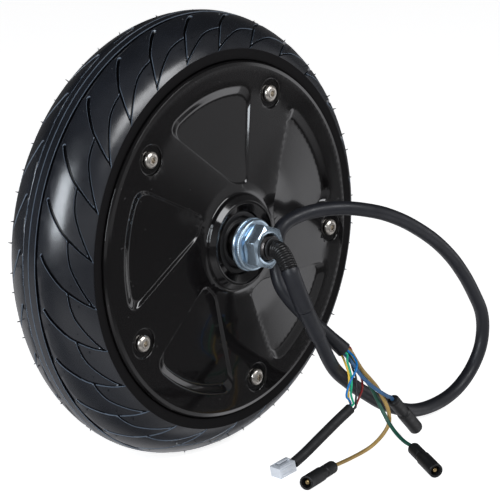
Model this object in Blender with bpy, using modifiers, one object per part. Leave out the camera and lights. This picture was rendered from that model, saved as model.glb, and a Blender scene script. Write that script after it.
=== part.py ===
"""A 200 mm hub motor wheel: a gearless brushless motor inside the wheel of a small scooter.

The wheel stands upright with its axle along Y. Its front cover faces -Y and the cable leaves the
axle's front end. Turned pieces are modelled lying down, with the front face up, as (radius, front)
profiles, where front is the distance in front of the wheel's middle plane. The empty wheel_axis
turns them upright, so that their local +Z becomes world -Y and their local +Y becomes world +Z.
Cords are modelled where they lie, in world coordinates.
"""

import math

import bmesh
import bpy
from mathutils import Matrix, Vector

GAP = 0.0003  # between pieces that touch or nest

# Tyre and the shell that carries it
TYRE_RADIUS = 0.100
TYRE_HALF_WIDTH = 0.025
TYRE_CROWN_POWER = 1.755
SHOULDER_RADIUS = 0.080
SIDEWALL_FRONT = 0.024
BEAD_RADIUS = 0.0763
BARREL_RADIUS = 0.0760
BARREL_BORE = 0.0633
BARREL_FRONT = 0.0212
COVER_RADIUS = 0.0798
COVER_BACK = 0.0215
COVER_INSIDE = 0.0226

# Steps of the turned pieces
TYRE_STEPS = 48
WALL_STEPS = 40
BARREL_STEPS = 48
SMALL_STEPS = 22

# Cover screws
SCREW_COUNT = 5
SCREW_CIRCLE = 0.0677
FIRST_SCREW_ANGLE = math.radians(-4)
SCREW_SPACING = math.tau / SCREW_COUNT
SCREW_RECESS_RADIUS = 0.0067
SCREW_SEAT = 0.0253
SCREW_HOLE_RADIUS = 0.00225
SCREW_SHANK_RADIUS = 0.00195
SCREW_HEAD_RADIUS = 0.0038

# Axle, bearings (15 x 32 x 9 mm) and the M12 fasteners
AXLE_HALF_LENGTH = 0.049
THREAD_RADIUS = 0.006
AXLE_FLAT = 0.005
AXLE_SEAT_RADIUS = 0.00735
AXLE_SHOULDER = 0.0359
CABLE_BORE = 0.0040
WASHER_BORE = 0.0063
NUT_ACROSS_FLATS = 0.018
NUT_TURN = math.radians(42.5)
NUT_BOTTOM = 0.0405
NUT_TOP = 0.0482
BEARING_INNER = 0.00765
BEARING_OUTER = 0.0158
BEARING_MIDDLE = 0.0231
BEARING_HALF_WIDTH = 0.0045
BALL_PITCH = 0.01175
BALL_RADIUS = 0.00215
BALL_COUNT = 9

# Motor: 27 teeth and 30 magnets
TEETH = 27
MAGNETS = 30
STATOR_RADIUS = 0.0564
CORE_HALF_LENGTH = 0.013
TOOTH_HALF_WIDTH = 0.00225
YOKE_OUTER = 0.0425
YOKE_INNER = 0.0358
COIL_HALF_LENGTH = 0.019
COIL_HALF_WIDTH = 0.00455

# Cable and wires
CABLE_RADIUS = 0.0032
SLEEVE_SHORT_RADIUS = 0.00375
SLEEVE_LONG_RADIUS = 0.0040
RELIEF_RADIUS = 0.0039
PHASE_RADIUS = 0.0009
HALL_RADIUS = 0.0005
HALL_SLEEVE_RADIUS = 0.0024
BULLET_RADIUS = 0.00325
RELIEF_END = 0.0125  # distances along the cable from the axle's face
SLEEVE_LONG_END = 0.0325
SLEEVE_SHORT_END = 0.0500
END_STEP = 0.0006

# Route of the cable's centre line, from the axle's front end round the loop to its cut end
CABLE_ROUTE = [
    (0.0000, -0.0507, 0.0000),
    (0.0000, -0.0530, -0.0004),
    (-0.0003, -0.0556, -0.0020),
    (-0.0005, -0.0585, -0.0056),
    (0.0001, -0.0612, -0.0120),
    (0.0047, -0.0635, -0.0246),
    (0.0145, -0.0630, -0.0391),
    (0.0281, -0.0610, -0.0572),
    (0.0427, -0.0590, -0.0680),
    (0.0574, -0.0570, -0.0766),
    (0.0704, -0.0555, -0.0838),
    (0.0842, -0.0540, -0.0896),
    (0.0969, -0.0530, -0.0934),
    (0.1095, -0.0525, -0.0945),
    (0.1222, -0.0525, -0.0931),
    (0.1331, -0.0525, -0.0893),
    (0.1418, -0.0530, -0.0825),
    (0.1472, -0.0540, -0.0731),
    (0.1486, -0.0545, -0.0632),
    (0.1462, -0.0550, -0.0541),
    (0.1397, -0.0555, -0.0446),
    (0.1309, -0.0560, -0.0338),
    (0.1204, -0.0560, -0.0231),
    (0.1072, -0.0560, -0.0130),
    (0.0918, -0.0555, -0.0039),
    (0.0789, -0.0545, 0.0022),
    (0.0659, -0.0530, 0.0067),
    (0.0503, -0.0485, 0.0100),
    (0.0359, -0.0430, 0.0101),
    (0.0240, -0.0398, 0.0077),
    (0.0180, -0.0387, 0.0042),
    (0.0161, -0.0384, -0.0010),
    (0.0157, -0.0384, -0.0080),
    (0.0146, -0.0396, -0.0152),
    (0.0148, -0.0420, -0.0212),
    (0.0170, -0.0452, -0.0268),
    (0.0194, -0.0488, -0.0315),
    (0.0221, -0.0520, -0.0355),
    (0.0255, -0.0555, -0.0399),
    (0.0346, -0.0620, -0.0505),
]

# Routes of the wires between the cable's cut end and their connectors. Each starts on the cable's
# end face, at an angle round its centre, and the five hall wires end on the hall sleeve's face.
PHASE_START_RADIUS = 0.00145
HALL_START_RADIUS = 0.0026
HALL_FINISH_RADIUS = 0.0013
PHASE_WIRES = {
    "yellow": {
        "start_angle": 65,
        "colour": "phase_yellow",
        "route": [
            (0.0382, -0.0656, -0.0547),
            (0.0412, -0.0673, -0.0602),
            (0.0454, -0.0685, -0.0650),
            (0.0498, -0.0690, -0.0697),
            (0.0536, -0.0690, -0.0749),
            (0.0552, -0.0712, -0.0808),
            (0.0551, -0.0718, -0.0871),
            (0.0521, -0.0702, -0.0926),
            (0.0476, -0.0682, -0.0967),
            (0.0414, -0.0678, -0.0983),
            (0.0288, -0.0707, -0.0980),
            (0.0163, -0.0743, -0.0969),
        ],
        "connector": [(0.0100, -0.0764, -0.0962), (-0.0156, -0.0825, -0.0966)],
    },
    "blue": {
        "start_angle": 305,
        "colour": "phase_blue",
        "route": [
            (0.0356, -0.0664, -0.0565),
            (0.0379, -0.0698, -0.0621),
            (0.0427, -0.0712, -0.0668),
            (0.0484, -0.0715, -0.0708),
            (0.0544, -0.0714, -0.0743),
        ],
        "connector": [(0.0605, -0.0695, -0.0775), (0.0834, -0.0653, -0.0966)],
    },
    "green": {
        "start_angle": 185,
        "colour": "phase_green",
        "route": [
            (0.0386, -0.0629, -0.0554),
            (0.0418, -0.0645, -0.0606),
            (0.0454, -0.0658, -0.0656),
            (0.0494, -0.0660, -0.0705),
            (0.0521, -0.0671, -0.0760),
            (0.0527, -0.0702, -0.0814),
            (0.0528, -0.0740, -0.0865),
            (0.0515, -0.0792, -0.0898),
            (0.0497, -0.0849, -0.0918),
        ],
        "connector": [(0.0483, -0.0910, -0.0933), (0.0355, -0.1139, -0.0966)],
    },
}
HALL_WIRES = {
    "blue": {
        "start_angle": 20,
        "finish_angle": 129,
        "route": [
            (0.0339, -0.0681, -0.0522),
            (0.0324, -0.0713, -0.0547),
            (0.0295, -0.0728, -0.0575),
            (0.0268, -0.0725, -0.0609),
            (0.0259, -0.0714, -0.0650),
            (0.0268, -0.0700, -0.0689),
            (0.0298, -0.0689, -0.0712),
        ],
    },
    "green": {
        "start_angle": 350,
        "finish_angle": 57,
        "route": [
            (0.0321, -0.0659, -0.0542),
            (0.0313, -0.0679, -0.0574),
            (0.0310, -0.0693, -0.0611),
            (0.0307, -0.0697, -0.0650),
            (0.0309, -0.0692, -0.0689),
            (0.0326, -0.0689, -0.0724),
        ],
    },
    "yellow": {
        "start_angle": 260,
        "finish_angle": 201,
        "route": [
            (0.0337, -0.0633, -0.0558),
            (0.0330, -0.0657, -0.0595),
            (0.0324, -0.0669, -0.0636),
            (0.0320, -0.0668, -0.0680),
            (0.0337, -0.0657, -0.0724),
        ],
    },
    "black": {
        "start_angle": 140,
        "finish_angle": -15,
        "route": [
            (0.0395, -0.0610, -0.0522),
            (0.0401, -0.0614, -0.0561),
            (0.0406, -0.0621, -0.0601),
            (0.0399, -0.0645, -0.0633),
            (0.0391, -0.0659, -0.0669),
            (0.0378, -0.0667, -0.0706),
            (0.0360, -0.0678, -0.0740),
        ],
    },
    "red": {
        "start_angle": 110,
        "finish_angle": -87,
        "route": [
            (0.0391, -0.0627, -0.0516),
            (0.0408, -0.0625, -0.0553),
            (0.0423, -0.0626, -0.0591),
            (0.0442, -0.0631, -0.0627),
            (0.0450, -0.0641, -0.0665),
            (0.0431, -0.0658, -0.0697),
            (0.0403, -0.0665, -0.0725),
            (0.0374, -0.0671, -0.0753),
        ],
    },
}
HALL_SLEEVE_ROUTE = [
    (0.0332, -0.0670, -0.0764),
    (0.0244, -0.0660, -0.0810),
    (0.0146, -0.0650, -0.0864),
    (0.0055, -0.0640, -0.0915),
    (-0.0008, -0.0630, -0.0948),
]
HALL_CONNECTOR_SIZE = (0.0095, 0.0068, 0.0052)  # length, width, height

# name: (colour, roughness, metallic)
FINISHES = {
    "tyre_rubber": ((0.030, 0.030, 0.032), 0.62, 0.0),
    "gloss_black": ((0.012, 0.012, 0.013), 0.16, 0.0),
    "zinc_plate": ((0.62, 0.68, 0.74), 0.28, 1.0),
    "stainless": ((0.72, 0.70, 0.67), 0.25, 1.0),
    "axle_steel": ((0.36, 0.32, 0.29), 0.45, 1.0),
    "bearing_steel": ((0.70, 0.70, 0.71), 0.2, 1.0),
    "black_rubber": ((0.020, 0.020, 0.021), 0.5, 0.0),
    "black_sheath": ((0.022, 0.023, 0.026), 0.42, 0.0),
    "aluminium": ((0.70, 0.71, 0.72), 0.4, 1.0),
    "lamination": ((0.30, 0.31, 0.33), 0.45, 1.0),
    "insulator": ((0.78, 0.77, 0.72), 0.5, 0.0),
    "copper": ((0.72, 0.33, 0.16), 0.3, 1.0),
    "magnet": ((0.45, 0.46, 0.48), 0.35, 1.0),
    "board_green": ((0.03, 0.20, 0.08), 0.4, 0.0),
    "phase_yellow": ((0.55, 0.40, 0.16), 0.45, 0.0),
    "phase_blue": ((0.06, 0.17, 0.42), 0.45, 0.0),
    "phase_green": ((0.02, 0.20, 0.11), 0.45, 0.0),
    "hall_yellow": ((0.85, 0.58, 0.08), 0.4, 0.0),
    "hall_blue": ((0.01, 0.24, 0.72), 0.4, 0.0),
    "hall_green": ((0.00, 0.42, 0.20), 0.4, 0.0),
    "hall_black": ((0.03, 0.03, 0.035), 0.4, 0.0),
    "hall_red": ((0.30, 0.02, 0.02), 0.4, 0.0),
    "connector_black": ((0.016, 0.016, 0.017), 0.5, 0.0),
    "connector_white": ((0.86, 0.88, 0.92), 0.4, 0.0),
}


# --- Scene and helpers ---------------------------------------------------------------------------


def clear_scene():
    for obj in list(bpy.data.objects):
        bpy.data.objects.remove(obj, do_unlink=True)


def new_collection(name):
    collection = bpy.data.collections.new(name)
    bpy.context.scene.collection.children.link(collection)
    return collection


def finish_material(name):
    material = bpy.data.materials.get(name)
    if material:
        return material
    colour, roughness, metallic = FINISHES[name]
    material = bpy.data.materials.new(name)
    material.use_nodes = True
    shader = material.node_tree.nodes["Principled BSDF"]
    shader.inputs["Base Color"].default_value = (*colour, 1.0)
    shader.inputs["Roughness"].default_value = roughness
    shader.inputs["Metallic"].default_value = metallic
    return material


def add_part(name, data, finish, parent=None):
    """A named sub-part with its finish, in the parts' collection."""
    obj = bpy.data.objects.new(name, data)
    parts.objects.link(obj)
    obj.parent = parent
    data.materials.append(finish_material(finish))
    return obj


def add_cutter(name, data, parent=None):
    obj = bpy.data.objects.new(name, data)
    cutters.objects.link(obj)
    obj.parent = parent
    obj.hide_render = True
    obj.display_type = "WIRE"
    return obj


def combine(obj, other, operation):
    modifier = obj.modifiers.new(other.name, "BOOLEAN")
    modifier.operation = operation
    modifier.object = other
    modifier.solver = "EXACT"


def smooth(mesh):
    mesh.shade_smooth()
    mesh.set_sharp_from_angle(angle=math.radians(35))


def add_screw(obj, steps):
    """Turns the object's profile through a full circle about its Z axis."""
    modifier = obj.modifiers.new("Turn", "SCREW")
    modifier.axis = "Z"
    modifier.angle = math.tau
    modifier.steps = steps
    modifier.render_steps = steps
    modifier.use_merge_vertices = True
    modifier.merge_threshold = 0.00001


def profile_mesh(name, profile, closed):
    """Edges through (radius, front) points that run down the outer side from the top."""
    mesh = bpy.data.meshes.new(name)
    points = [(radius, 0.0, front) for radius, front in profile]
    edges = [(i, i + 1) for i in range(len(points) - 1)]
    if closed:
        edges.append((len(points) - 1, 0))
    mesh.from_pydata(points, edges, [])
    return mesh


def turned(name, profile, steps, finish, closed=True):
    obj = add_part(name, profile_mesh(name, profile, closed), finish, wheel_axis)
    add_screw(obj, steps)
    return obj


def turned_cutter(name, profile, steps, closed=True):
    obj = add_cutter(name, profile_mesh(name, profile, closed), wheel_axis)
    add_screw(obj, steps)
    return obj


def mirrored(profile):
    """The same profile seen at the rear, still running down its outer side."""
    return [(radius, -front) for radius, front in reversed(profile)]


def for_side(profile, side):
    return profile if side > 0 else mirrored(profile)


def polar(radius, angle):
    return (radius * math.cos(angle), radius * math.sin(angle))


def circle(radius, count, centre=(0.0, 0.0)):
    steps = (polar(radius, math.tau * i / count) for i in range(count))
    return [(x + centre[0], y + centre[1]) for x, y in steps]


def rectangle(half_width, half_height):
    corners = ((-1, -1), (1, -1), (1, 1), (-1, 1))
    return [(x * half_width, y * half_height) for x, y in corners]


def plate_mesh(name, outlines, low, high):
    """A flat outline, with any holes, given its thickness between two heights."""
    curve = bpy.data.curves.new(name, "CURVE")
    curve.dimensions = "2D"
    curve.fill_mode = "BOTH"
    curve.extrude = (high - low) / 2
    for outline in outlines:
        spline = curve.splines.new("POLY")
        spline.points.add(len(outline) - 1)
        spline.use_cyclic_u = True
        for point, (x, y) in zip(spline.points, outline):
            point.co = (x, y, 0.0, 1.0)
    holder = bpy.data.objects.new(name, curve)
    bpy.context.scene.collection.objects.link(holder)
    graph = bpy.context.evaluated_depsgraph_get()
    mesh = bpy.data.meshes.new_from_object(holder.evaluated_get(graph))
    bpy.data.objects.remove(holder)
    bpy.data.curves.remove(curve)
    work = bmesh.new()
    work.from_mesh(mesh)
    bmesh.ops.remove_doubles(work, verts=work.verts, dist=0.000001)
    bmesh.ops.translate(work, verts=work.verts, vec=(0.0, 0.0, (high + low) / 2))
    bmesh.ops.recalc_face_normals(work, faces=work.faces)
    work.to_mesh(mesh)
    work.free()
    return mesh


def plate(name, outlines, low, high, finish):
    return add_part(name, plate_mesh(name, outlines, low, high), finish, wheel_axis)


def several(name, shapes):
    """One mesh from a list of functions that each add a separate closed shape."""
    work = bmesh.new()
    for add_shape in shapes:
        add_shape(work)
    mesh = bpy.data.meshes.new(name)
    work.to_mesh(mesh)
    work.free()
    return mesh


def combine_shapes(obj, name, shapes, operation="DIFFERENCE"):
    """Cuts or joins with one cutter that several closed shapes make up."""
    combine(obj, add_cutter(name, several(name, shapes), wheel_axis), operation)


def cylinder_shape(radius, low, high, centre=(0.0, 0.0), segments=24):
    def add_shape(work):
        middle = Matrix.Translation((*centre, (low + high) / 2))
        bmesh.ops.create_cone(
            work,
            cap_ends=True,
            segments=segments,
            radius1=radius,
            radius2=radius,
            depth=high - low,
            matrix=middle,
        )

    return add_shape


def box_shape(size, matrix):
    def add_shape(work):
        bmesh.ops.create_cube(work, size=1.0, matrix=matrix @ Matrix.Diagonal((*size, 1.0)))

    return add_shape


def smooth_route(points, steps=12):
    """Closely spaced points on one smooth curve through a route's own points."""
    route = [Vector(point) for point in points]
    ends = [2 * route[0] - route[1], *route, 2 * route[-1] - route[-2]]
    curve = []
    for before, start, end, after in zip(ends, ends[1:], ends[2:], ends[3:]):
        for i in range(steps):
            t = i / steps
            curve.append(
                0.5
                * (
                    2 * start
                    + (end - before) * t
                    + (2 * before - 5 * start + 4 * end - after) * t**2
                    + (3 * start - before - 3 * end + after) * t**3
                )
            )
    curve.append(route[-1])
    return curve


def stretch(curve, start, end, spacing):
    """Points on the curve from one distance along it to another, at most a spacing apart.

    A short step at either end squares the cord's end to its route.
    """
    distances = [0.0]
    for one, two in zip(curve, curve[1:]):
        distances.append(distances[-1] + (two - one).length)
    if end is None:
        end = distances[-1]
    count = max(2, math.ceil((end - start) / spacing))
    places = [start + (end - start) * i / count for i in range(1, count)]
    points = []
    index = 0
    for place in [start, start + END_STEP, *places, end - END_STEP, end]:
        while index < len(curve) - 2 and distances[index + 1] < place:
            index += 1
        share = (place - distances[index]) / (distances[index + 1] - distances[index])
        points.append(curve[index].lerp(curve[index + 1], min(share, 1.0)))
    return points


def tube(name, points, radius, finish, resolution=2):
    """A round cord through the points, in world coordinates."""
    curve = bpy.data.curves.new(name, "CURVE")
    curve.dimensions = "3D"
    curve.bevel_depth = radius
    curve.bevel_resolution = resolution
    curve.use_fill_caps = True
    spline = curve.splines.new("POLY")
    spline.points.add(len(points) - 1)
    for place, point in zip(spline.points, points):
        place.co = (*point, 1.0)
    return add_part(name, curve, finish)


# --- Shapes that the front cover and the shell's rear wall share ---------------------------------


def face_profile():
    """The outside of an end wall, from its rim in to the seal's bore."""
    return [
        (COVER_RADIUS, 0.0243),
        (0.0775, 0.0261),
        (0.0260, 0.0289),
        (0.0226, 0.0294),
        (0.0211, 0.0314),
        (0.0195, 0.0331),
        (0.0178, 0.0332),
        (0.0142, 0.0316),
    ]


def bearing_seat_profile():
    """From the seal's bore back through the bearing's seat to the inside of the wall."""
    return [
        (0.0142, 0.0280),
        (0.0161, 0.0280),
        (0.0161, 0.0175),
        (0.0220, 0.0175),
        (0.0225, COVER_INSIDE),
    ]


def petal_outline(centre_angle):
    """One swirled petal: two straight sides, a wide round outer edge and a narrow inner one."""
    leading = [polar(0.0262, math.radians(-29.5)), polar(0.0655, math.radians(-25.0))]
    outer = [polar(0.0705, math.radians(angle)) for angle in (-20, -7, 6, 18)]
    trailing = [polar(0.0665, math.radians(23.0)), polar(0.0262, math.radians(-10.0))]
    inner = [polar(0.0246, math.radians(-20.0))]
    turn = Matrix.Rotation(centre_angle, 2)
    return [tuple(turn @ Vector(point)) for point in leading + outer + trailing + inner]


def petal_cutter(name, side):
    """Five petals cut to a shallow depth that follows the wall's slope."""
    floor = [
        (0.0750, 0.0400),
        (0.0750, 0.0279),
        (0.0645, 0.0253),
        (0.0400, 0.0267),
        (0.0240, 0.0286),
        (0.0240, 0.0400),
    ]
    ring = turned_cutter(f"{name}_floor", for_side(floor, side), WALL_STEPS)
    low, high = sorted((0.0230 * side, 0.0380 * side))
    work = bmesh.new()
    for index in range(SCREW_COUNT):
        angle = FIRST_SCREW_ANGLE + SCREW_SPACING * (index + 0.5)
        mesh = plate_mesh(f"{name}_petal", [petal_outline(angle)], low, high)
        work.from_mesh(mesh)
        bpy.data.meshes.remove(mesh)
    mesh = bpy.data.meshes.new(name)
    work.to_mesh(mesh)
    work.free()
    petals = add_cutter(name, mesh, wheel_axis)
    combine(petals, ring, "INTERSECT")
    return petals


def screw_centres():
    return [polar(SCREW_CIRCLE, FIRST_SCREW_ANGLE + SCREW_SPACING * i) for i in range(SCREW_COUNT)]


# --- Wheel ---------------------------------------------------------------------------------------


def make_tyre():
    def crown_radius(front):
        rise = 1 - abs(front / TYRE_HALF_WIDTH) ** TYRE_CROWN_POWER
        return SHOULDER_RADIUS + (TYRE_RADIUS - SHOULDER_RADIUS) * rise ** (1 / TYRE_CROWN_POWER)

    heights = [0.0238, 0.0222, 0.0190, 0.0135, 0.0065, 0.0]
    heights += [-height for height in reversed(heights[:-1])]
    profile = [(0.0840, SIDEWALL_FRONT)]
    profile += [(crown_radius(height), height) for height in heights]
    profile += [
        (0.0840, -SIDEWALL_FRONT),
        (COVER_RADIUS + GAP, -SIDEWALL_FRONT),
        (COVER_RADIUS + GAP, -BARREL_FRONT),
        (BEAD_RADIUS, -BARREL_FRONT),
        (BEAD_RADIUS, BARREL_FRONT),
        (COVER_RADIUS + GAP, BARREL_FRONT),
        (COVER_RADIUS + GAP, SIDEWALL_FRONT),
    ]
    turned("tyre", profile, TYRE_STEPS, "tyre_rubber")


def make_shell():
    """The wheel's cast shell: the barrel under the tyre and the rear wall in one piece."""
    rear = [(radius, -front) for radius, front in face_profile() + bearing_seat_profile()]
    profile = [(BARREL_RADIUS, BARREL_FRONT), (BARREL_RADIUS, -COVER_BACK)]
    profile += [(COVER_RADIUS, -COVER_BACK)]
    profile += rear
    profile += [(0.0600, -COVER_INSIDE), (BARREL_BORE, -0.0210), (BARREL_BORE, BARREL_FRONT)]
    shell = turned("wheel_shell", profile, WALL_STEPS, "gloss_black")
    combine(shell, petal_cutter("rear_petals", -1), "DIFFERENCE")
    holes = [
        cylinder_shape(SCREW_HOLE_RADIUS, 0.0090, 0.0300, centre, 10) for centre in screw_centres()
    ]
    combine_shapes(shell, "thread_holes", holes)


def make_front_cover():
    profile = list(reversed(face_profile()))
    profile += [
        (COVER_RADIUS, COVER_BACK),
        (BARREL_BORE - GAP, COVER_BACK),
        (BARREL_BORE - GAP, 0.0190),
        (0.0600, 0.0190),
        (0.0595, COVER_INSIDE),
    ]
    profile += list(reversed(bearing_seat_profile()))
    cover = turned("front_cover", profile, WALL_STEPS, "gloss_black")
    combine(cover, petal_cutter("front_petals", 1), "DIFFERENCE")
    recesses = [
        cylinder_shape(SCREW_RECESS_RADIUS, SCREW_SEAT, 0.0300, centre, 16)
        for centre in screw_centres()
    ]
    combine_shapes(cover, "screw_recesses", recesses)
    holes = [
        cylinder_shape(SCREW_HOLE_RADIUS, 0.0150, 0.0300, centre, 10) for centre in screw_centres()
    ]
    combine_shapes(cover, "screw_holes", holes)


def make_cover_screws():
    """Button-head screws with hexagon sockets, threaded into the shell's barrel."""
    profile = [
        (0.0, 0.0275),
        (0.0025, 0.0275),
        (SCREW_HEAD_RADIUS, 0.0264),
        (SCREW_HEAD_RADIUS, SCREW_SEAT + GAP),
        (SCREW_SHANK_RADIUS, SCREW_SEAT + GAP),
        (SCREW_SHANK_RADIUS, 0.0105),
        (0.0, 0.0100),
    ]
    socket_mesh = several("socket", [cylinder_shape(0.00135, 0.0261, 0.0290, segments=6)])
    for index, centre in enumerate(screw_centres()):
        name = f"cover_screw_{index + 1}"
        screw = turned(name, profile, 14, "stainless", closed=False)
        screw.location = (*centre, 0.0)
        socket = add_cutter(f"{name}_socket", socket_mesh, wheel_axis)
        socket.location = screw.location
        combine(screw, socket, "DIFFERENCE")


def make_rotor():
    back_iron = [(0.0630, 0.0150), (0.0630, -0.0150), (0.0602, -0.0150), (0.0602, 0.0150)]
    turned("back_iron", back_iron, BARREL_STEPS, "lamination")
    pitch = math.tau / MAGNETS
    # One magnet's inner face, between the roots of the gaps beside it, in shares of the pitch
    magnet = [(0.0592, -0.42), (0.0571, -0.42), (0.0571, 0.42), (0.0592, 0.42)]
    inner = []
    for index in range(MAGNETS):
        centre = pitch * index
        for radius, share in magnet:
            inner.append(polar(radius, centre + pitch * share))
    plate("magnet_ring", [circle(0.0599, MAGNETS), inner], -0.0140, 0.0140, "magnet")


# --- Stator --------------------------------------------------------------------------------------


def tooth_outline(tip_radius, with_tips):
    """The outside of a ring of teeth, each with a parallel neck and a wide tip."""
    pitch = math.tau / TEETH
    root = [(YOKE_OUTER, -TOOTH_HALF_WIDTH), (YOKE_OUTER, TOOTH_HALF_WIDTH)]
    if with_tips:
        inner_tip = 0.0540
        half_tip = 0.0047
        tip = [
            (inner_tip - 0.0004, -TOOTH_HALF_WIDTH),
            (inner_tip + 0.0008, -half_tip),
            (tip_radius, -half_tip),
            (tip_radius, half_tip),
            (inner_tip + 0.0008, half_tip),
            (inner_tip - 0.0004, TOOTH_HALF_WIDTH),
        ]
    else:
        tip = [(tip_radius, -TOOTH_HALF_WIDTH), (tip_radius, TOOTH_HALF_WIDTH)]
    outline = []
    for index in range(TEETH):
        turn = Matrix.Rotation(pitch * index, 2)
        for point in [root[0], *tip, root[1]]:
            outline.append(tuple(turn @ Vector(point)))
    return outline


def make_stator():
    bore = circle(YOKE_INNER, TEETH)
    core = [tooth_outline(STATOR_RADIUS, True), bore]
    plate("stator_core", core, -CORE_HALF_LENGTH, CORE_HALF_LENGTH, "lamination")
    cap = [tooth_outline(0.0538, False), bore]
    low = CORE_HALF_LENGTH + GAP
    high = low + 0.0008
    plate("front_insulator", cap, low, high, "insulator")
    plate("rear_insulator", cap, -high, -low, "insulator")

    spider = [
        (0.0352, 0.0125),
        (0.0352, -0.0125),
        (0.0310, -0.0125),
        (0.0305, -0.0030),
        (0.0150, -0.0030),
        (0.0145, -0.0110),
        (0.0093, -0.0110),
        (0.0093, 0.0110),
        (0.0145, 0.0110),
        (0.0150, 0.0030),
        (0.0305, 0.0030),
        (0.0310, 0.0125),
    ]
    carrier = turned("stator_carrier", spider, 24, "aluminium")
    windows = [
        cylinder_shape(0.0055, -0.0060, 0.0060, polar(0.0228, math.tau * i / 6), 12) for i in range(6)
    ]
    combine_shapes(carrier, "carrier_windows", windows)
    posts = [
        cylinder_shape(0.0013, 0.0100, 0.0199, polar(0.0332, math.radians(angle)), 8)
        for angle in (68, 112)
    ]
    combine_shapes(carrier, "board_posts", posts, "UNION")

    arc = [math.radians(60 + 5 * i) for i in range(13)]
    board = [polar(0.0530, angle) for angle in arc]
    board += [polar(0.0315, angle) for angle in reversed(arc)]
    plate("hall_board", [board], 0.0202, 0.0213, "board_green")


def coil_mesh(name):
    """One coil round a tooth that points along local X, wound from yoke to tip."""
    half_hole = TOOTH_HALF_WIDTH + GAP
    hole_length = CORE_HALF_LENGTH + 2 * GAP + 0.0008
    outlines = [
        rectangle(COIL_HALF_WIDTH, COIL_HALF_LENGTH),
        rectangle(half_hole, hole_length),
    ]
    mesh = plate_mesh(name, outlines, 0.0434, 0.0530)
    mesh.transform(Matrix(((0, 0, 1, 0), (1, 0, 0, 0), (0, 1, 0, 0), (0, 0, 0, 1))))
    return mesh


def make_windings():
    """Three phases of nine coils, each phase joined by its own ring behind the stator."""
    pitch = math.tau / TEETH
    coil = coil_mesh("coil")
    for phase, ring_radius in enumerate((0.0450, 0.0482, 0.0514)):
        name = f"winding_phase_{'abc'[phase]}"
        teeth = [9 * group + 3 * phase + i for group in range(3) for i in range(3)]
        ring = [
            (ring_radius + 0.0007, -0.0196),
            (ring_radius + 0.0007, -0.0207),
            (ring_radius - 0.0007, -0.0207),
            (ring_radius - 0.0007, -0.0196),
        ]
        winding = turned(name, ring, TEETH, "copper")
        work = bmesh.new()
        for tooth in teeth:
            copy = coil.copy()
            copy.transform(Matrix.Rotation(pitch * tooth, 4, "Z"))
            work.from_mesh(copy)
            bpy.data.meshes.remove(copy)
        coils = bpy.data.meshes.new(f"{name}_coils")
        work.to_mesh(coils)
        work.free()
        tabs = [
            box_shape(
                (0.0012, 0.0016, 0.0020),
                Matrix.Rotation(pitch * tooth, 4, "Z")
                @ Matrix.Translation((ring_radius, 0.0035, -0.0193)),
            )
            for tooth in teeth
        ]
        combine_shapes(winding, f"{name}_tabs", tabs, "UNION")
        combine(winding, add_cutter(f"{name}_coils", coils, wheel_axis), "UNION")


# --- Axle, bearings and fasteners ----------------------------------------------------------------


def make_axle():
    half = [
        (0.0, AXLE_HALF_LENGTH),
        (0.0052, AXLE_HALF_LENGTH),
        (THREAD_RADIUS, 0.0482),
        (THREAD_RADIUS, AXLE_SHOULDER),
        (AXLE_SEAT_RADIUS, AXLE_SHOULDER),
        (AXLE_SEAT_RADIUS, 0.0183),
        (0.0086, 0.0183),
        (0.0086, 0.0115),
        (0.0090, 0.0115),
    ]
    axle = turned("axle", half + mirrored(half), SMALL_STEPS, "axle_steel", closed=False)
    flats = [
        box_shape((0.02, 0.004, 0.02), Matrix.Translation((0.0, y, z)))
        for y in (AXLE_FLAT + 0.002, -AXLE_FLAT - 0.002)
        for z in (AXLE_SHOULDER + 0.0103, -AXLE_SHOULDER - 0.0103)
    ]
    combine_shapes(axle, "axle_flats", flats)
    bore = [cylinder_shape(CABLE_BORE, 0.0112, 0.0600, segments=16)]
    combine_shapes(axle, "cable_bore", bore)
    hole_mesh = several("lead_hole", [cylinder_shape(0.0031, 0.0, 0.0200, segments=12)])
    side_hole = add_cutter("lead_hole", hole_mesh, wheel_axis)
    side_hole.location = (0.0, 0.0, 0.0148)
    side_hole.rotation_euler = (-math.pi / 2, 0.0, 0.0)
    combine(axle, side_hole, "DIFFERENCE")


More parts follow.
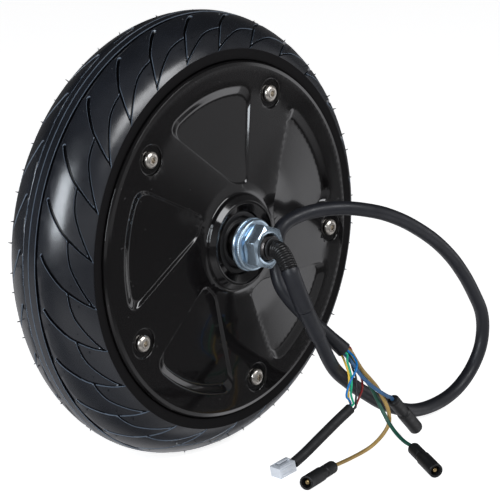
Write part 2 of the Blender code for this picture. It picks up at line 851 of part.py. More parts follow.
def make_bearing(prefix, side):
    high = BEARING_MIDDLE + BEARING_HALF_WIDTH
    low = BEARING_MIDDLE - BEARING_HALF_WIDTH
    groove = 0.0022
    inner = [
        (0.0102, high),
        (0.0102, BEARING_MIDDLE + groove),
        (0.0089, BEARING_MIDDLE),
        (0.0102, BEARING_MIDDLE - groove),
        (0.0102, low),
        (BEARING_INNER, low),
        (BEARING_INNER, high),
    ]
    outer = [
        (BEARING_OUTER, high),
        (BEARING_OUTER, low),
        (0.0133, low),
        (0.0133, BEARING_MIDDLE - groove),
        (0.0146, BEARING_MIDDLE),
        (0.0133, BEARING_MIDDLE + groove),
        (0.0133, high),
    ]
    turned(f"{prefix}_inner_race", for_side(inner, side), SMALL_STEPS, "bearing_steel")
    turned(f"{prefix}_outer_race", for_side(outer, side), SMALL_STEPS, "bearing_steel")

    cage = [
        (0.0125, BEARING_MIDDLE + 0.0006),
        (0.0125, BEARING_MIDDLE - 0.0006),
        (0.0110, BEARING_MIDDLE - 0.0006),
        (0.0110, BEARING_MIDDLE + 0.0006),
    ]
    balls = turned(f"{prefix}_ball_cage", for_side(cage, side), 2 * BALL_COUNT, "bearing_steel")

    def add_balls(work):
        for index in range(BALL_COUNT):
            x, y = polar(BALL_PITCH, math.tau * index / BALL_COUNT)
            centre = Matrix.Translation((x, y, side * BEARING_MIDDLE))
            bmesh.ops.create_uvsphere(
                work, u_segments=7, v_segments=4, radius=BALL_RADIUS, matrix=centre
            )

    combine_shapes(balls, f"{prefix}_balls", [add_balls], "UNION")

    seal = [
        (0.0138, 0.0311),
        (0.0138, 0.0283),
        (0.0115, 0.0283),
        (0.0085, 0.0286),
        (0.0078, 0.0286),
        (0.0078, 0.0302),
        (0.0092, 0.0311),
    ]
    turned(f"{prefix}_seal", for_side(seal, side), SMALL_STEPS, "black_rubber")


def make_fasteners(prefix, side):
    washer = [(0.0120, 0.0377), (0.0120, 0.0362), (WASHER_BORE, 0.0362), (WASHER_BORE, 0.0377)]
    turned(f"{prefix}_washer", for_side(washer, side), SMALL_STEPS, "zinc_plate")
    lock = [
        (0.0108, 0.0402),
        (0.0116, 0.0396),
        (0.0116, 0.0380),
        (WASHER_BORE, 0.0380),
        (WASHER_BORE, 0.0402),
    ]
    turned(f"{prefix}_lock_washer", for_side(lock, side), SMALL_STEPS, "zinc_plate")
    corner_radius = NUT_ACROSS_FLATS / math.sqrt(3)
    corners = [polar(corner_radius, NUT_TURN + math.radians(60 * i)) for i in range(6)]
    low, high = sorted((NUT_BOTTOM * side, NUT_TOP * side))
    nut = plate(f"{prefix}_axle_nut", [corners, circle(WASHER_BORE, 16)], low, high, "zinc_plate")
    chamfer = for_side(
        [
            (0.0, NUT_TOP),
            (0.0091, NUT_TOP),
            (0.0106, 0.0473),
            (0.0106, 0.0413),
            (0.0091, NUT_BOTTOM),
            (0.0, NUT_BOTTOM),
        ],
        side,
    )
    limit = turned_cutter(f"{prefix}_nut_chamfer", chamfer, SMALL_STEPS, closed=False)
    combine(nut, limit, "INTERSECT")


# --- Cable, wires and connectors -----------------------------------------------------------------


def end_frame(curve, at_end):
    """The place, outward direction and two cross directions at one end of a curve."""
    place, neighbour = (curve[-1], curve[-2]) if at_end else (curve[0], curve[1])
    out = (place - neighbour).normalized()
    across = out.cross(Vector((0.0, 0.0, 1.0))).normalized()
    return place, out, across, across.cross(out)


def on_face(frame, radius, angle, distance):
    place, out, across, up = frame
    turn = math.radians(angle)
    return place + out * distance + radius * (math.cos(turn) * across + math.sin(turn) * up)


def make_cable():
    grommet = [
        (0.0050, 0.0501),
        (0.0050, 0.0493),
        (0.0037, 0.0493),
        (0.0037, 0.0440),
        (0.0027, 0.0440),
        (0.0027, 0.0501),
    ]
    turned("cable_grommet", grommet, 16, "black_rubber")
    inside = smooth_route(
        [
            (0.0, -0.0501, 0.0),
            (0.0, -0.0350, 0.0),
            (0.0, -0.0215, 0.0),
            (0.0, -0.0175, 0.0006),
            (0.0, -0.0153, 0.0028),
            (0.0, -0.0148, 0.0060),
            (0.0, -0.0147, 0.0110),
            (0.0, -0.0147, 0.0230),
            (0.0, -0.0178, 0.0275),
            (0.0, -0.0195, 0.0312),
        ]
    )
    tube("stator_leads", stretch(inside, 0.0, None, 0.0042), 0.0022, "black_sheath")

    curve = smooth_route(CABLE_ROUTE)
    reach = GAP / 2
    # Each stretch: name, start, end, radius, finish and the spacing of its points
    stretches = (
        ("bend_relief", 0.0, RELIEF_END, RELIEF_RADIUS, "black_rubber", 0.0025),
        ("sleeve_long", RELIEF_END, SLEEVE_LONG_END, SLEEVE_LONG_RADIUS, "black_sheath", 0.005),
        ("sleeve_short", SLEEVE_LONG_END, SLEEVE_SHORT_END, SLEEVE_SHORT_RADIUS, "black_sheath", 0.005),
    )
    for name, start, end, radius, finish, spacing in stretches:
        points = stretch(curve, start + reach, end - reach, spacing)
        tube(name, points, radius, finish, 3)
    cable_points = stretch(curve, SLEEVE_SHORT_END + reach, None, 0.0105)
    tube("motor_cable", cable_points, CABLE_RADIUS, "black_sheath")
    return end_frame(curve, True)


def make_bullet(name, start, end):
    """A rubber-sleeved bullet connector: a boot, a waist and an open front shell."""
    length = (end - start).length
    profile = [
        (0.0, length - 0.0010),
        (0.0010, length - 0.0010),
        (0.0010, length - 0.0050),
        (0.0023, length - 0.0050),
        (0.0023, length),
        (BULLET_RADIUS, length),
        (BULLET_RADIUS, 0.48 * length),
        (0.0026, 0.45 * length),
        (0.0026, 0.40 * length),
        (0.0029, 0.37 * length),
        (0.0029, 0.0),
        (0.0, 0.0),
    ]
    obj = add_part(name, profile_mesh(name, profile, False), "connector_black")
    add_screw(obj, 12)
    obj.location = start
    obj.rotation_mode = "QUATERNION"
    obj.rotation_quaternion = (end - start).to_track_quat("Z", "Y")


def make_phase_wires(cable_end):
    for colour, wire in PHASE_WIRES.items():
        first, last = (Vector(point) for point in wire["connector"])
        direction = (last - first).normalized()
        start = on_face(cable_end, PHASE_START_RADIUS, wire["start_angle"], GAP)
        lead = on_face(cable_end, PHASE_START_RADIUS * 1.1, wire["start_angle"], 0.003)
        finish = first - direction * GAP
        points = [start, lead, *wire["route"], finish - direction * 0.002, finish]
        curve = smooth_route(points)
        tube(f"phase_wire_{colour}", stretch(curve, 0.0, None, 0.0055), PHASE_RADIUS, wire["colour"])
        make_bullet(f"bullet_connector_{colour}", first, last)


def make_hall_harness(cable_end):
    sleeve_curve = smooth_route(HALL_SLEEVE_ROUTE)
    tube("hall_sleeve", stretch(sleeve_curve, 0.0, None, 0.008), HALL_SLEEVE_RADIUS, "black_sheath")
    sleeve_start = end_frame(sleeve_curve, False)
    for colour, wire in HALL_WIRES.items():
        start = on_face(cable_end, HALL_START_RADIUS, wire["start_angle"], GAP)
        lead = on_face(cable_end, HALL_START_RADIUS * 1.05, wire["start_angle"], 0.0018)
        finish = on_face(sleeve_start, HALL_FINISH_RADIUS, wire["finish_angle"], GAP)
        approach = on_face(sleeve_start, HALL_FINISH_RADIUS * 1.2, wire["finish_angle"], 0.0020)
        curve = smooth_route([start, lead, *wire["route"], approach, finish])
        tube(f"hall_wire_{colour}", stretch(curve, 0.0, None, 0.0035), HALL_RADIUS, f"hall_{colour}")

    place, out, _, _ = end_frame(sleeve_curve, True)
    length, width, height = HALL_CONNECTOR_SIZE
    level = Vector((out.x, out.y, 0.0)).normalized()
    side = level.cross(Vector((0.0, 0.0, 1.0)))
    centre = place + out * GAP + level * (length / 2 + 0.0012)
    centre.z = -TYRE_RADIUS + 0.0002 + height / 2
    rows = (level, side, Vector((0.0, 0.0, 1.0)))
    turn = Matrix(rows).transposed().to_4x4()
    housing = add_part(
        "hall_connector",
        several("hall_connector", [box_shape((length, width, height), Matrix())]),
        "connector_white",
    )
    housing.matrix_world = Matrix.Translation(centre) @ turn
    latch_place = Matrix.Translation((-0.0010, 0.0, height / 2 + 0.0006))
    latch = several("hall_latch", [box_shape((0.0060, 0.0018, 0.0024), latch_place)])
    latch_cutter = add_cutter("hall_latch", latch)
    latch_cutter.matrix_world = housing.matrix_world
    combine(housing, latch_cutter, "UNION")
    sockets = several(
        "hall_sockets",
        [
            box_shape((0.0060, 0.0013, 0.0013), Matrix.Translation((length / 2, y, z)))
            for y in (-0.0021, 0.0, 0.0021)
            for z in (-0.00115, 0.00115)
        ],
    )
    socket_cutter = add_cutter("hall_sockets", sockets)
    socket_cutter.matrix_world = housing.matrix_world
    combine(housing, socket_cutter, "DIFFERENCE")


clear_scene()
parts = new_collection("hub_motor_wheel")
cutters = new_collection("cutters")
wheel_axis = bpy.data.objects.new("wheel_axis", None)
wheel_axis.rotation_euler = (math.pi / 2, 0.0, 0.0)
parts.objects.link(wheel_axis)

make_tyre()
make_shell()
make_front_cover()
make_cover_screws()
make_rotor()
make_stator()
make_windings()
make_axle()
for bearing_prefix, bearing_side in (("front", 1), ("rear", -1)):
    make_bearing(bearing_prefix, bearing_side)
    make_fasteners(bearing_prefix, bearing_side)
cable_end_frame = make_cable()
make_phase_wires(cable_end_frame)
make_hall_harness(cable_end_frame)

for part in parts.objects:
    if part.type == "MESH":
        smooth(part.data)
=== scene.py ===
"""Looks of the 200 mm hub motor wheel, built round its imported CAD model.

Turned and pressed pieces are made in wheel coordinates (x, z, front), where front is the distance
in front of the wheel's middle plane, towards -Y. Cords are made where they lie, in world
coordinates. All lengths are in metres.
"""

import math
import random

import bmesh
import bpy
import numpy as np
from mathutils import Matrix, Vector
from mathutils.geometry import delaunay_2d_cdt


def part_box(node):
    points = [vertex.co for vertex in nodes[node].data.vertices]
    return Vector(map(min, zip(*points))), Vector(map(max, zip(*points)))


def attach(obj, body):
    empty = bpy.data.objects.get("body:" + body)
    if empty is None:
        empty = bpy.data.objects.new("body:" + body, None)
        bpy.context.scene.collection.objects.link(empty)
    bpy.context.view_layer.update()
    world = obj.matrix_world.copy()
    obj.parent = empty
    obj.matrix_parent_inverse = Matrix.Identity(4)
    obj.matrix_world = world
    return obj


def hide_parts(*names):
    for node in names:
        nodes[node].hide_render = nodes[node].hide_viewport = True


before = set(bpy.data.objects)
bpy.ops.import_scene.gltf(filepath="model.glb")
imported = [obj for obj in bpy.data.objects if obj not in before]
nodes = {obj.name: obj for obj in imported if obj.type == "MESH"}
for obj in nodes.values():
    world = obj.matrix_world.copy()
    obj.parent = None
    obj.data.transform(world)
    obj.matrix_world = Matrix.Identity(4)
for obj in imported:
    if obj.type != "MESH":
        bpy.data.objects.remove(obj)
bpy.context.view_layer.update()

MM = 0.001
MERGE = 0.0000001  # places closer than this count as one in a triangulation
FLOOR_LEVEL = -0.1

# Room and light
FLOOR_RADIUS = 12.0
FLOOR_GLOW = 0.86
# Brightness of the room that glossy surfaces see, by height from straight down to straight up
ROOM_LEVELS = [
    (-1.00, 0.12), (-0.85, 0.22), (-0.55, 0.55), (-0.36, 0.10), (-0.14, 0.08), (-0.10, 0.38),
    (0.10, 0.38), (0.40, 0.12), (1.00, 0.10),
]
WINDOW_GLOW = 0.95  # a broad soft glow at the right, beyond the edge that WINDOW_EDGE faces
WINDOW_EDGE = (0.588, 0.809, 0.0)
BACK_GLOW = 0.50  # the pale wall behind the object, which shows in its grazing reflections

# Camera
CAMERA_PLACE = Vector((-0.88661, -0.81696, 0.25961))
CAMERA_TARGET = Vector((0.01681, -0.02168, -0.00769))
CAMERA_LENS = 198.07
SENSOR_WIDTH = 36.0

# Wheel, in metres
TYRE_RADIUS = 0.100
TYRE_HALF_WIDTH = 0.025
TYRE_CROWN_POWER = 1.755
SHOULDER_RADIUS = 0.080
TREAD_EDGE = 0.0238
SCREW_COUNT = 5
SCREW_CIRCLE = 0.0677
SCREW_SPACING = math.tau / SCREW_COUNT
FIRST_SCREW_ANGLE = math.radians(-4)
SCREW_SEAT = 0.0253
TAPPED_HOLE_RADIUS = 0.0020
TAPPED_HOLE_END = 0.0090
RIM_RADIUS = 0.0798
BARREL_RADIUS = 0.0760
BARREL_BORE = 0.0633
BARREL_FRONT = 0.0212
SPIGOT_RADIUS = 0.0630  # the ring behind the cover that centres it in the barrel
SPIGOT_BORE = 0.0600
COVER_BACK = 0.0215
BEARING_SEAT = 0.0161
SEAL_SEAT = 0.0142
AXLE_THREAD_PITCH = 0.00125
NUT_TURN = math.radians(42.5)
NUT_ACROSS_FLATS = 0.018
EDGE = 0.0004  # rounding between the nut's flats and its chamfers

# Columns of the turned pieces
WALL_COLUMNS = 360
FINE_COLUMNS = 192

# Tread: 26 equal units, each with a V whose tip points to the sidewall
TREAD_UNITS = 26
TREAD_PITCH = math.tau / TREAD_UNITS
FIRST_TIP_ANGLE = math.radians(10.3)

# Cords
CABLE_RADIUS = 0.0032
SLEEVE_SHORT_RADIUS = 0.00375
SLEEVE_LONG_RADIUS = 0.0040
RELIEF_RADIUS = 0.0039
PHASE_RADIUS = 0.0009
HALL_RADIUS = 0.0005
HALL_SLEEVE_RADIUS = 0.0024
RELIEF_END = 0.0125
SLEEVE_LONG_END = 0.0325
SLEEVE_SHORT_END = 0.0500
GAP = 0.0003

CABLE_ROUTE = [
    (0.0000, -0.0507, 0.0000), (0.0000, -0.0530, -0.0004), (-0.0003, -0.0556, -0.0020),
    (-0.0005, -0.0585, -0.0056), (0.0001, -0.0612, -0.0120), (0.0047, -0.0635, -0.0246),
    (0.0145, -0.0630, -0.0391), (0.0281, -0.0610, -0.0572), (0.0427, -0.0590, -0.0680),
    (0.0574, -0.0570, -0.0766), (0.0704, -0.0555, -0.0838), (0.0842, -0.0540, -0.0896),
    (0.0969, -0.0530, -0.0934), (0.1095, -0.0525, -0.0945), (0.1222, -0.0525, -0.0931),
    (0.1331, -0.0525, -0.0893), (0.1418, -0.0530, -0.0825), (0.1472, -0.0540, -0.0731),
    (0.1486, -0.0545, -0.0632), (0.1462, -0.0550, -0.0541), (0.1397, -0.0555, -0.0446),
    (0.1309, -0.0560, -0.0338), (0.1204, -0.0560, -0.0231), (0.1072, -0.0560, -0.0130),
    (0.0918, -0.0555, -0.0039), (0.0789, -0.0545, 0.0022), (0.0659, -0.0530, 0.0067),
    (0.0503, -0.0485, 0.0100), (0.0359, -0.0430, 0.0101), (0.0240, -0.0398, 0.0077),
    (0.0180, -0.0387, 0.0042), (0.0161, -0.0384, -0.0010), (0.0157, -0.0384, -0.0080),
    (0.0146, -0.0396, -0.0152), (0.0148, -0.0420, -0.0212), (0.0170, -0.0452, -0.0268),
    (0.0194, -0.0488, -0.0315), (0.0221, -0.0520, -0.0355), (0.0255, -0.0555, -0.0399),
    (0.0346, -0.0620, -0.0505),
]

# Wires between the cable's cut end and their connectors. Each starts on the cable's end face, at an
# angle round its centre, and the five hall wires end on the hall sleeve's face. These routes were
# placed by hand over the photograph and then pushed apart by a script, and are part.py's.
PHASE_START_RADIUS = 0.00145
HALL_START_RADIUS = 0.0026
HALL_FINISH_RADIUS = 0.0013
PHASE_WIRES = {
    "yellow": {
        "start_angle": 65,
        "route": [
            (0.0382, -0.0656, -0.0547), (0.0412, -0.0673, -0.0602), (0.0454, -0.0685, -0.0650),
            (0.0498, -0.0690, -0.0697), (0.0536, -0.0690, -0.0749), (0.0552, -0.0712, -0.0808),
            (0.0551, -0.0718, -0.0871), (0.0521, -0.0702, -0.0926), (0.0476, -0.0682, -0.0967),
            (0.0414, -0.0678, -0.0983), (0.0288, -0.0707, -0.0980), (0.0163, -0.0743, -0.0969),
        ],
        "connector": [(0.0100, -0.0764, -0.0962), (-0.0156, -0.0825, -0.0966)],
    },
    "blue": {
        "start_angle": 305,
        "route": [
            (0.0356, -0.0664, -0.0565), (0.0379, -0.0698, -0.0621), (0.0427, -0.0712, -0.0668),
            (0.0484, -0.0715, -0.0708), (0.0544, -0.0714, -0.0743),
        ],
        "connector": [(0.0605, -0.0695, -0.0775), (0.0834, -0.0653, -0.0966)],
    },
    "green": {
        "start_angle": 185,
        "route": [
            (0.0386, -0.0629, -0.0554), (0.0418, -0.0645, -0.0606), (0.0454, -0.0658, -0.0656),
            (0.0494, -0.0660, -0.0705), (0.0521, -0.0671, -0.0760), (0.0527, -0.0702, -0.0814),
            (0.0528, -0.0740, -0.0865), (0.0515, -0.0792, -0.0898), (0.0497, -0.0849, -0.0918),
        ],
        "connector": [(0.0483, -0.0910, -0.0933), (0.0355, -0.1139, -0.0966)],
    },
}
HALL_WIRES = {
    "blue": {
        "start_angle": 20,
        "finish_angle": 129,
        "route": [
            (0.0339, -0.0681, -0.0522), (0.0324, -0.0713, -0.0547), (0.0295, -0.0728, -0.0575),
            (0.0268, -0.0725, -0.0609), (0.0259, -0.0714, -0.0650), (0.0268, -0.0700, -0.0689),
            (0.0298, -0.0689, -0.0712),
        ],
    },
    "green": {
        "start_angle": 350,
        "finish_angle": 57,
        "route": [
            (0.0321, -0.0659, -0.0542), (0.0313, -0.0679, -0.0574), (0.0310, -0.0693, -0.0611),
            (0.0307, -0.0697, -0.0650), (0.0309, -0.0692, -0.0689), (0.0326, -0.0689, -0.0724),
        ],
    },
    "yellow": {
        "start_angle": 260,
        "finish_angle": 201,
        "route": [
            (0.0337, -0.0633, -0.0558), (0.0330, -0.0657, -0.0595), (0.0324, -0.0669, -0.0636),
            (0.0320, -0.0668, -0.0680), (0.0337, -0.0657, -0.0724),
        ],
    },
    "black": {
        "start_angle": 140,
        "finish_angle": -15,
        "route": [
            (0.0395, -0.0610, -0.0522), (0.0401, -0.0614, -0.0561), (0.0406, -0.0621, -0.0601),
            (0.0399, -0.0645, -0.0633), (0.0391, -0.0659, -0.0669), (0.0378, -0.0667, -0.0706),
            (0.0360, -0.0678, -0.0740),
        ],
    },
    "red": {
        "start_angle": 110,
        "finish_angle": -87,
        "route": [
            (0.0391, -0.0627, -0.0516), (0.0408, -0.0625, -0.0553), (0.0423, -0.0626, -0.0591),
            (0.0442, -0.0631, -0.0627), (0.0450, -0.0641, -0.0665), (0.0431, -0.0658, -0.0697),
            (0.0403, -0.0665, -0.0725), (0.0374, -0.0671, -0.0753),
        ],
    },
}
HALL_SLEEVE_ROUTE = [
    (0.0332, -0.0670, -0.0764), (0.0244, -0.0660, -0.0810), (0.0146, -0.0650, -0.0864),
    (0.0055, -0.0640, -0.0915), (-0.0008, -0.0630, -0.0948),
]


# --- Camera, floor and light ---------------------------------------------------------------------


def make_camera():
    data = bpy.data.cameras.new("camera")
    data.lens = CAMERA_LENS
    data.sensor_width = SENSOR_WIDTH
    camera = bpy.data.objects.new("camera", data)
    camera.location = CAMERA_PLACE
    camera.rotation_mode = "QUATERNION"
    camera.rotation_quaternion = (CAMERA_TARGET - CAMERA_PLACE).to_track_quat("-Z", "Y")
    bpy.context.scene.collection.objects.link(camera)
    bpy.context.scene.camera = camera


def add_softbox(name, direction, distance, size, power, colour):
    """A rectangular soft light that faces the wheel from a direction."""
    data = bpy.data.lights.new(name, "AREA")
    data.shape = "RECTANGLE"
    data.size, data.size_y = size
    data.energy = power
    data.color = colour
    light = bpy.data.objects.new(name, data)
    towards = Vector(direction).normalized()
    light.location = towards * distance
    light.rotation_mode = "QUATERNION"
    light.rotation_quaternion = towards.to_track_quat("Z", "Y")
    bpy.context.scene.collection.objects.link(light)


def make_world():
    """White behind everything, and a dim room for what the glossy surfaces reflect."""
    world = bpy.data.worlds.new("studio")
    world.use_nodes = True
    tree = world.node_tree
    tree.nodes.clear()
    output = tree.nodes.new("ShaderNodeOutputWorld")
    mix = tree.nodes.new("ShaderNodeMixShader")
    room = tree.nodes.new("ShaderNodeBackground")
    room.inputs["Color"].default_value = (0.97, 0.97, 1.0, 1.0)

    def graded(value, from_low, from_high, low, high, interpolation="SMOOTHSTEP"):
        node = tree.nodes.new("ShaderNodeMapRange")
        node.interpolation_type = interpolation
        node.inputs["From Min"].default_value = from_low
        node.inputs["From Max"].default_value = from_high
        node.inputs["To Min"].default_value = low
        node.inputs["To Max"].default_value = high
        tree.links.new(value, node.inputs["Value"])
        return node.outputs["Result"]

    def combined(operation, one, two):
        node = tree.nodes.new("ShaderNodeMath")
        node.operation = operation
        tree.links.new(one, node.inputs[0])
        tree.links.new(two, node.inputs[1])
        return node.outputs["Value"]

    towards = tree.nodes.new("ShaderNodeTexCoord").outputs["Generated"]
    split = tree.nodes.new("ShaderNodeSeparateXYZ")
    tree.links.new(towards, split.inputs["Vector"])
    levels = tree.nodes.new("ShaderNodeValToRGB")
    levels.color_ramp.elements.remove(levels.color_ramp.elements[1])
    for height, level in ROOM_LEVELS:
        element = levels.color_ramp.elements.new((height + 1) / 2)
        element.color = (level, level, level, 1.0)
    height = graded(split.outputs["Z"], -1.0, 1.0, 0.0, 1.0, "LINEAR")
    tree.links.new(height, levels.inputs["Fac"])
    behind = graded(split.outputs["Y"], 0.0, 0.5, 0.0, BACK_GLOW)
    below = graded(split.outputs["Z"], -0.10, -0.25, 0.0, 1.0)
    ahead = graded(split.outputs["Y"], -0.25, 0.05, 1.0, 0.25)
    total = combined("MULTIPLY", levels.outputs["Color"], ahead)
    total = combined("ADD", total, combined("MULTIPLY", behind, below))
    across = tree.nodes.new("ShaderNodeVectorMath")
    across.operation = "DOT_PRODUCT"
    across.inputs[1].default_value = WINDOW_EDGE
    tree.links.new(towards, across.inputs[0])
    window = graded(across.outputs["Value"], -0.03, 0.07, 0.0, WINDOW_GLOW)
    window = combined("MULTIPLY", window, graded(split.outputs["Y"], -0.45, -0.10, 1.0, 0.0))
    window = combined("MULTIPLY", window, graded(split.outputs["Z"], 0.05, 0.40, 1.0, 0.0))
    total = combined("ADD", total, window)
    tree.links.new(total, room.inputs["Strength"])
    backdrop = tree.nodes.new("ShaderNodeBackground")
    backdrop.inputs["Strength"].default_value = 1.0
    backdrop.inputs["Color"].default_value = (1.0, 1.0, 1.0, 1.0)
    path = tree.nodes.new("ShaderNodeLightPath")
    tree.links.new(path.outputs["Is Camera Ray"], mix.inputs["Fac"])
    tree.links.new(room.outputs["Background"], mix.inputs[1])
    tree.links.new(backdrop.outputs["Background"], mix.inputs[2])
    tree.links.new(mix.outputs["Shader"], output.inputs["Surface"])
    bpy.context.scene.world = world


def make_floor():
    work = bmesh.new()
    bmesh.ops.create_circle(work, cap_ends=True, segments=96, radius=FLOOR_RADIUS)
    mesh = bpy.data.meshes.new("floor")
    work.to_mesh(mesh)
    work.free()
    floor = bpy.data.objects.new("floor", mesh)
    floor.location.z = FLOOR_LEVEL
    floor.visible_glossy = False
    bpy.context.scene.collection.objects.link(floor)
    material = bpy.data.materials.new("pale_floor")
    material.use_nodes = True
    shader = material.node_tree.nodes["Principled BSDF"]
    shader.inputs["Base Color"].default_value = (0.9, 0.9, 0.9, 1.0)
    shader.inputs["Roughness"].default_value = 0.9
    shader.inputs["Emission Color"].default_value = (1.0, 1.0, 1.0, 1.0)
    shader.inputs["Emission Strength"].default_value = FLOOR_GLOW
    mesh.materials.append(material)


make_camera()
make_world()
make_floor()
add_softbox("left_softbox", (-0.93, -0.20, 0.30), 1.6, (0.50, 0.80), 13.0, (0.88, 0.94, 1.0))
add_softbox("top_softbox", (0.12, -0.79, 0.60), 1.5, (1.10, 0.36), 8.5, (0.97, 0.98, 1.0))
bpy.context.scene.view_settings.view_transform = "Standard"


# --- Materials -----------------------------------------------------------------------------------


class Finish:
    """A material's node tree, with short calls for the nodes that the finishes share."""

    def __init__(self, name, roughness, metallic=0.0):
        self.material = bpy.data.materials.new(name)
        self.material.use_nodes = True
        self.tree = self.material.node_tree
        self.shader = self.tree.nodes["Principled BSDF"]
        self.set("Roughness", roughness)
        self.set("Metallic", metallic)
        self.place = self.tree.nodes.new("ShaderNodeTexCoord").outputs["Object"]

    def set(self, socket, value):
        self.shader.inputs[socket].default_value = value

    def link(self, output, socket):
        self.tree.links.new(output, socket)

    def noise(self, scale, detail=2.0, stretch=(1.0, 1.0, 1.0), distortion=0.0):
        mapping = self.tree.nodes.new("ShaderNodeMapping")
        mapping.inputs["Scale"].default_value = stretch
        self.link(self.place, mapping.inputs["Vector"])
        texture = self.tree.nodes.new("ShaderNodeTexNoise")
        texture.inputs["Scale"].default_value = scale
        texture.inputs["Detail"].default_value = detail
        texture.inputs["Distortion"].default_value = distortion
        self.link(mapping.outputs["Vector"], texture.inputs["Vector"])
        return texture.outputs["Fac"]

    def attribute(self, name):
        node = self.tree.nodes.new("ShaderNodeAttribute")
        node.attribute_name = name
        return node.outputs["Fac"]

    def remap(self, value, low, high, from_low=0.3, from_high=0.7):
        node = self.tree.nodes.new("ShaderNodeMapRange")
        node.inputs["From Min"].default_value = from_low
        node.inputs["From Max"].default_value = from_high
        node.inputs["To Min"].default_value = low
        node.inputs["To Max"].default_value = high
        self.link(value, node.inputs["Value"])
        return node.outputs["Result"]

    def blend(self, factor, one, two):
        """A colour between two, which are colours or outputs of other nodes."""
        node = self.tree.nodes.new("ShaderNodeMix")
        node.data_type = "RGBA"
        self.link(factor, node.inputs["Factor"])
        for socket, value in ((node.inputs["A"], one), (node.inputs["B"], two)):
            if isinstance(value, tuple):
                socket.default_value = (*value, 1.0)
            else:
                self.link(value, socket)
        return node.outputs["Result"]

    def between(self, factor, one, two):
        """A value between an output and a number."""
        node = self.tree.nodes.new("ShaderNodeMix")
        self.link(factor, node.inputs["Factor"])
        self.link(one, node.inputs["A"])
        node.inputs["B"].default_value = two
        return node.outputs["Result"]

    def product(self, one, two):
        node = self.tree.nodes.new("ShaderNodeMath")
        node.operation = "MULTIPLY"
        self.link(one, node.inputs[0])
        self.link(two, node.inputs[1])
        return node.outputs["Value"]

    def colour(self, output):
        self.link(output, self.shader.inputs["Base Color"])

    def roughness(self, output):
        self.link(output, self.shader.inputs["Roughness"])

    def bump(self, height, distance, strength=1.0):
        """Adds relief of a height in metres on top of what is there already."""
        node = self.tree.nodes.new("ShaderNodeBump")
        node.inputs["Distance"].default_value = distance
        node.inputs["Strength"].default_value = strength
        self.link(height, node.inputs["Height"])
        socket = self.shader.inputs["Normal"]
        if socket.is_linked:
            self.link(socket.links[0].from_socket, node.inputs["Normal"])
        self.link(node.outputs["Normal"], socket)


def rubber_finish(name, colour, roughness, grain=1500.0):
    """Moulded rubber: a faint bloom in patches and a fine matt grain."""
    finish = Finish(name, roughness)
    light = tuple(1.7 * part + 0.004 for part in colour)
    finish.colour(finish.blend(finish.remap(finish.noise(38.0, 5.0), 0.0, 1.0), colour, light))
    finish.roughness(finish.remap(finish.noise(90.0, 4.0), roughness - 0.05, roughness + 0.08))
    finish.bump(finish.noise(grain, 3.0), 0.00003, 0.6)
    return finish


def tyre_finish():
    """Satin tyre rubber: painted highlights on the groove edges, painted shade in the grooves and a matt
    sidewall band.
    """
    finish = Finish("tyre_rubber", 0.22)
    depth = finish.attribute("groove")
    band = finish.attribute("sidewall")
    patches = finish.remap(finish.noise(30.0, 6.0), 0.0, 1.0)
    tread = finish.blend(patches, (0.009, 0.010, 0.013), (0.015, 0.017, 0.022))
    # Painted highlight: a pale bluish line along both edges of each groove, set by the groove's depth
    rising = finish.remap(depth, 0.0, 0.75, 0.02, 0.17)
    falling = finish.remap(depth, 1.0, 0.0, 0.30, 0.62)
    edge = finish.product(rising, falling)
    tread = finish.blend(edge, tread, (0.22, 0.27, 0.34))
    tread = finish.blend(band, tread, (0.005, 0.0045, 0.005))
    # Painted shade: the colour darkens towards the floor of each groove
    finish.colour(finish.blend(finish.remap(depth, 0.0, 1.0, 0.4, 0.9), tread, (0.003, 0.003, 0.004)))
    polish = finish.remap(finish.noise(120.0, 5.0), 0.18, 0.27)
    finish.roughness(finish.between(band, polish, 0.75))
    matt = finish.remap(depth, 0.80, 0.15, 0.3, 0.9)
    finish.link(finish.between(band, matt, 0.13), finish.shader.inputs["Specular IOR Level"])
    finish.bump(finish.noise(900.0, 4.0), 0.00002, 0.3)
    finish.bump(finish.noise(160.0, 2.0), 0.00006, 0.3)
    return finish


def paint_finish(name, colour):
    """Gloss paint over a casting: a faint orange peel, dust specks and a clear coat."""
    finish = Finish(name, 0.10)
    finish.set("Coat Weight", 0.4)
    finish.set("Coat Roughness", 0.03)
    specks = finish.remap(finish.noise(700.0, 1.0), 0.0, 1.0, 0.74, 0.80)
    light = tuple(3.0 * part + 0.02 for part in colour)
    finish.colour(finish.blend(specks, colour, light))
    finish.roughness(finish.remap(finish.noise(45.0, 4.0), 0.06, 0.14))
    finish.bump(finish.noise(220.0, 2.0), 0.00002, 0.3)
    return finish


def metal_finish(name, colour, roughness, shade=0.75, stretch=(1.0, 1.0, 1.0), relief=0.00002):
    """Bare or plated metal: cloudy colour, uneven polish and fine scratches along one way."""
    finish = Finish(name, roughness, 1.0)
    dark = tuple(shade * part for part in colour)
    finish.colour(finish.blend(finish.remap(finish.noise(220.0, 5.0), 0.0, 1.0), dark, colour))
    finish.roughness(finish.remap(finish.noise(500.0, 4.0), 0.7 * roughness, 1.35 * roughness))
    finish.bump(finish.noise(1800.0, 3.0, stretch), relief, 0.5)
    return finish


def plastic_finish(name, colour, roughness, shade=0.8, grain=900.0, relief=0.00002):
    """Moulded or extruded plastic with slight unevenness in colour and polish."""
    finish = Finish(name, roughness)
    dark = tuple(shade * part for part in colour)
    finish.colour(finish.blend(finish.remap(finish.noise(140.0, 4.0), 0.0, 1.0), dark, colour))
    finish.roughness(finish.remap(finish.noise(300.0, 3.0), 0.8 * roughness, 1.2 * roughness))
    finish.bump(finish.noise(grain, 3.0), relief, 0.5)
    return finish


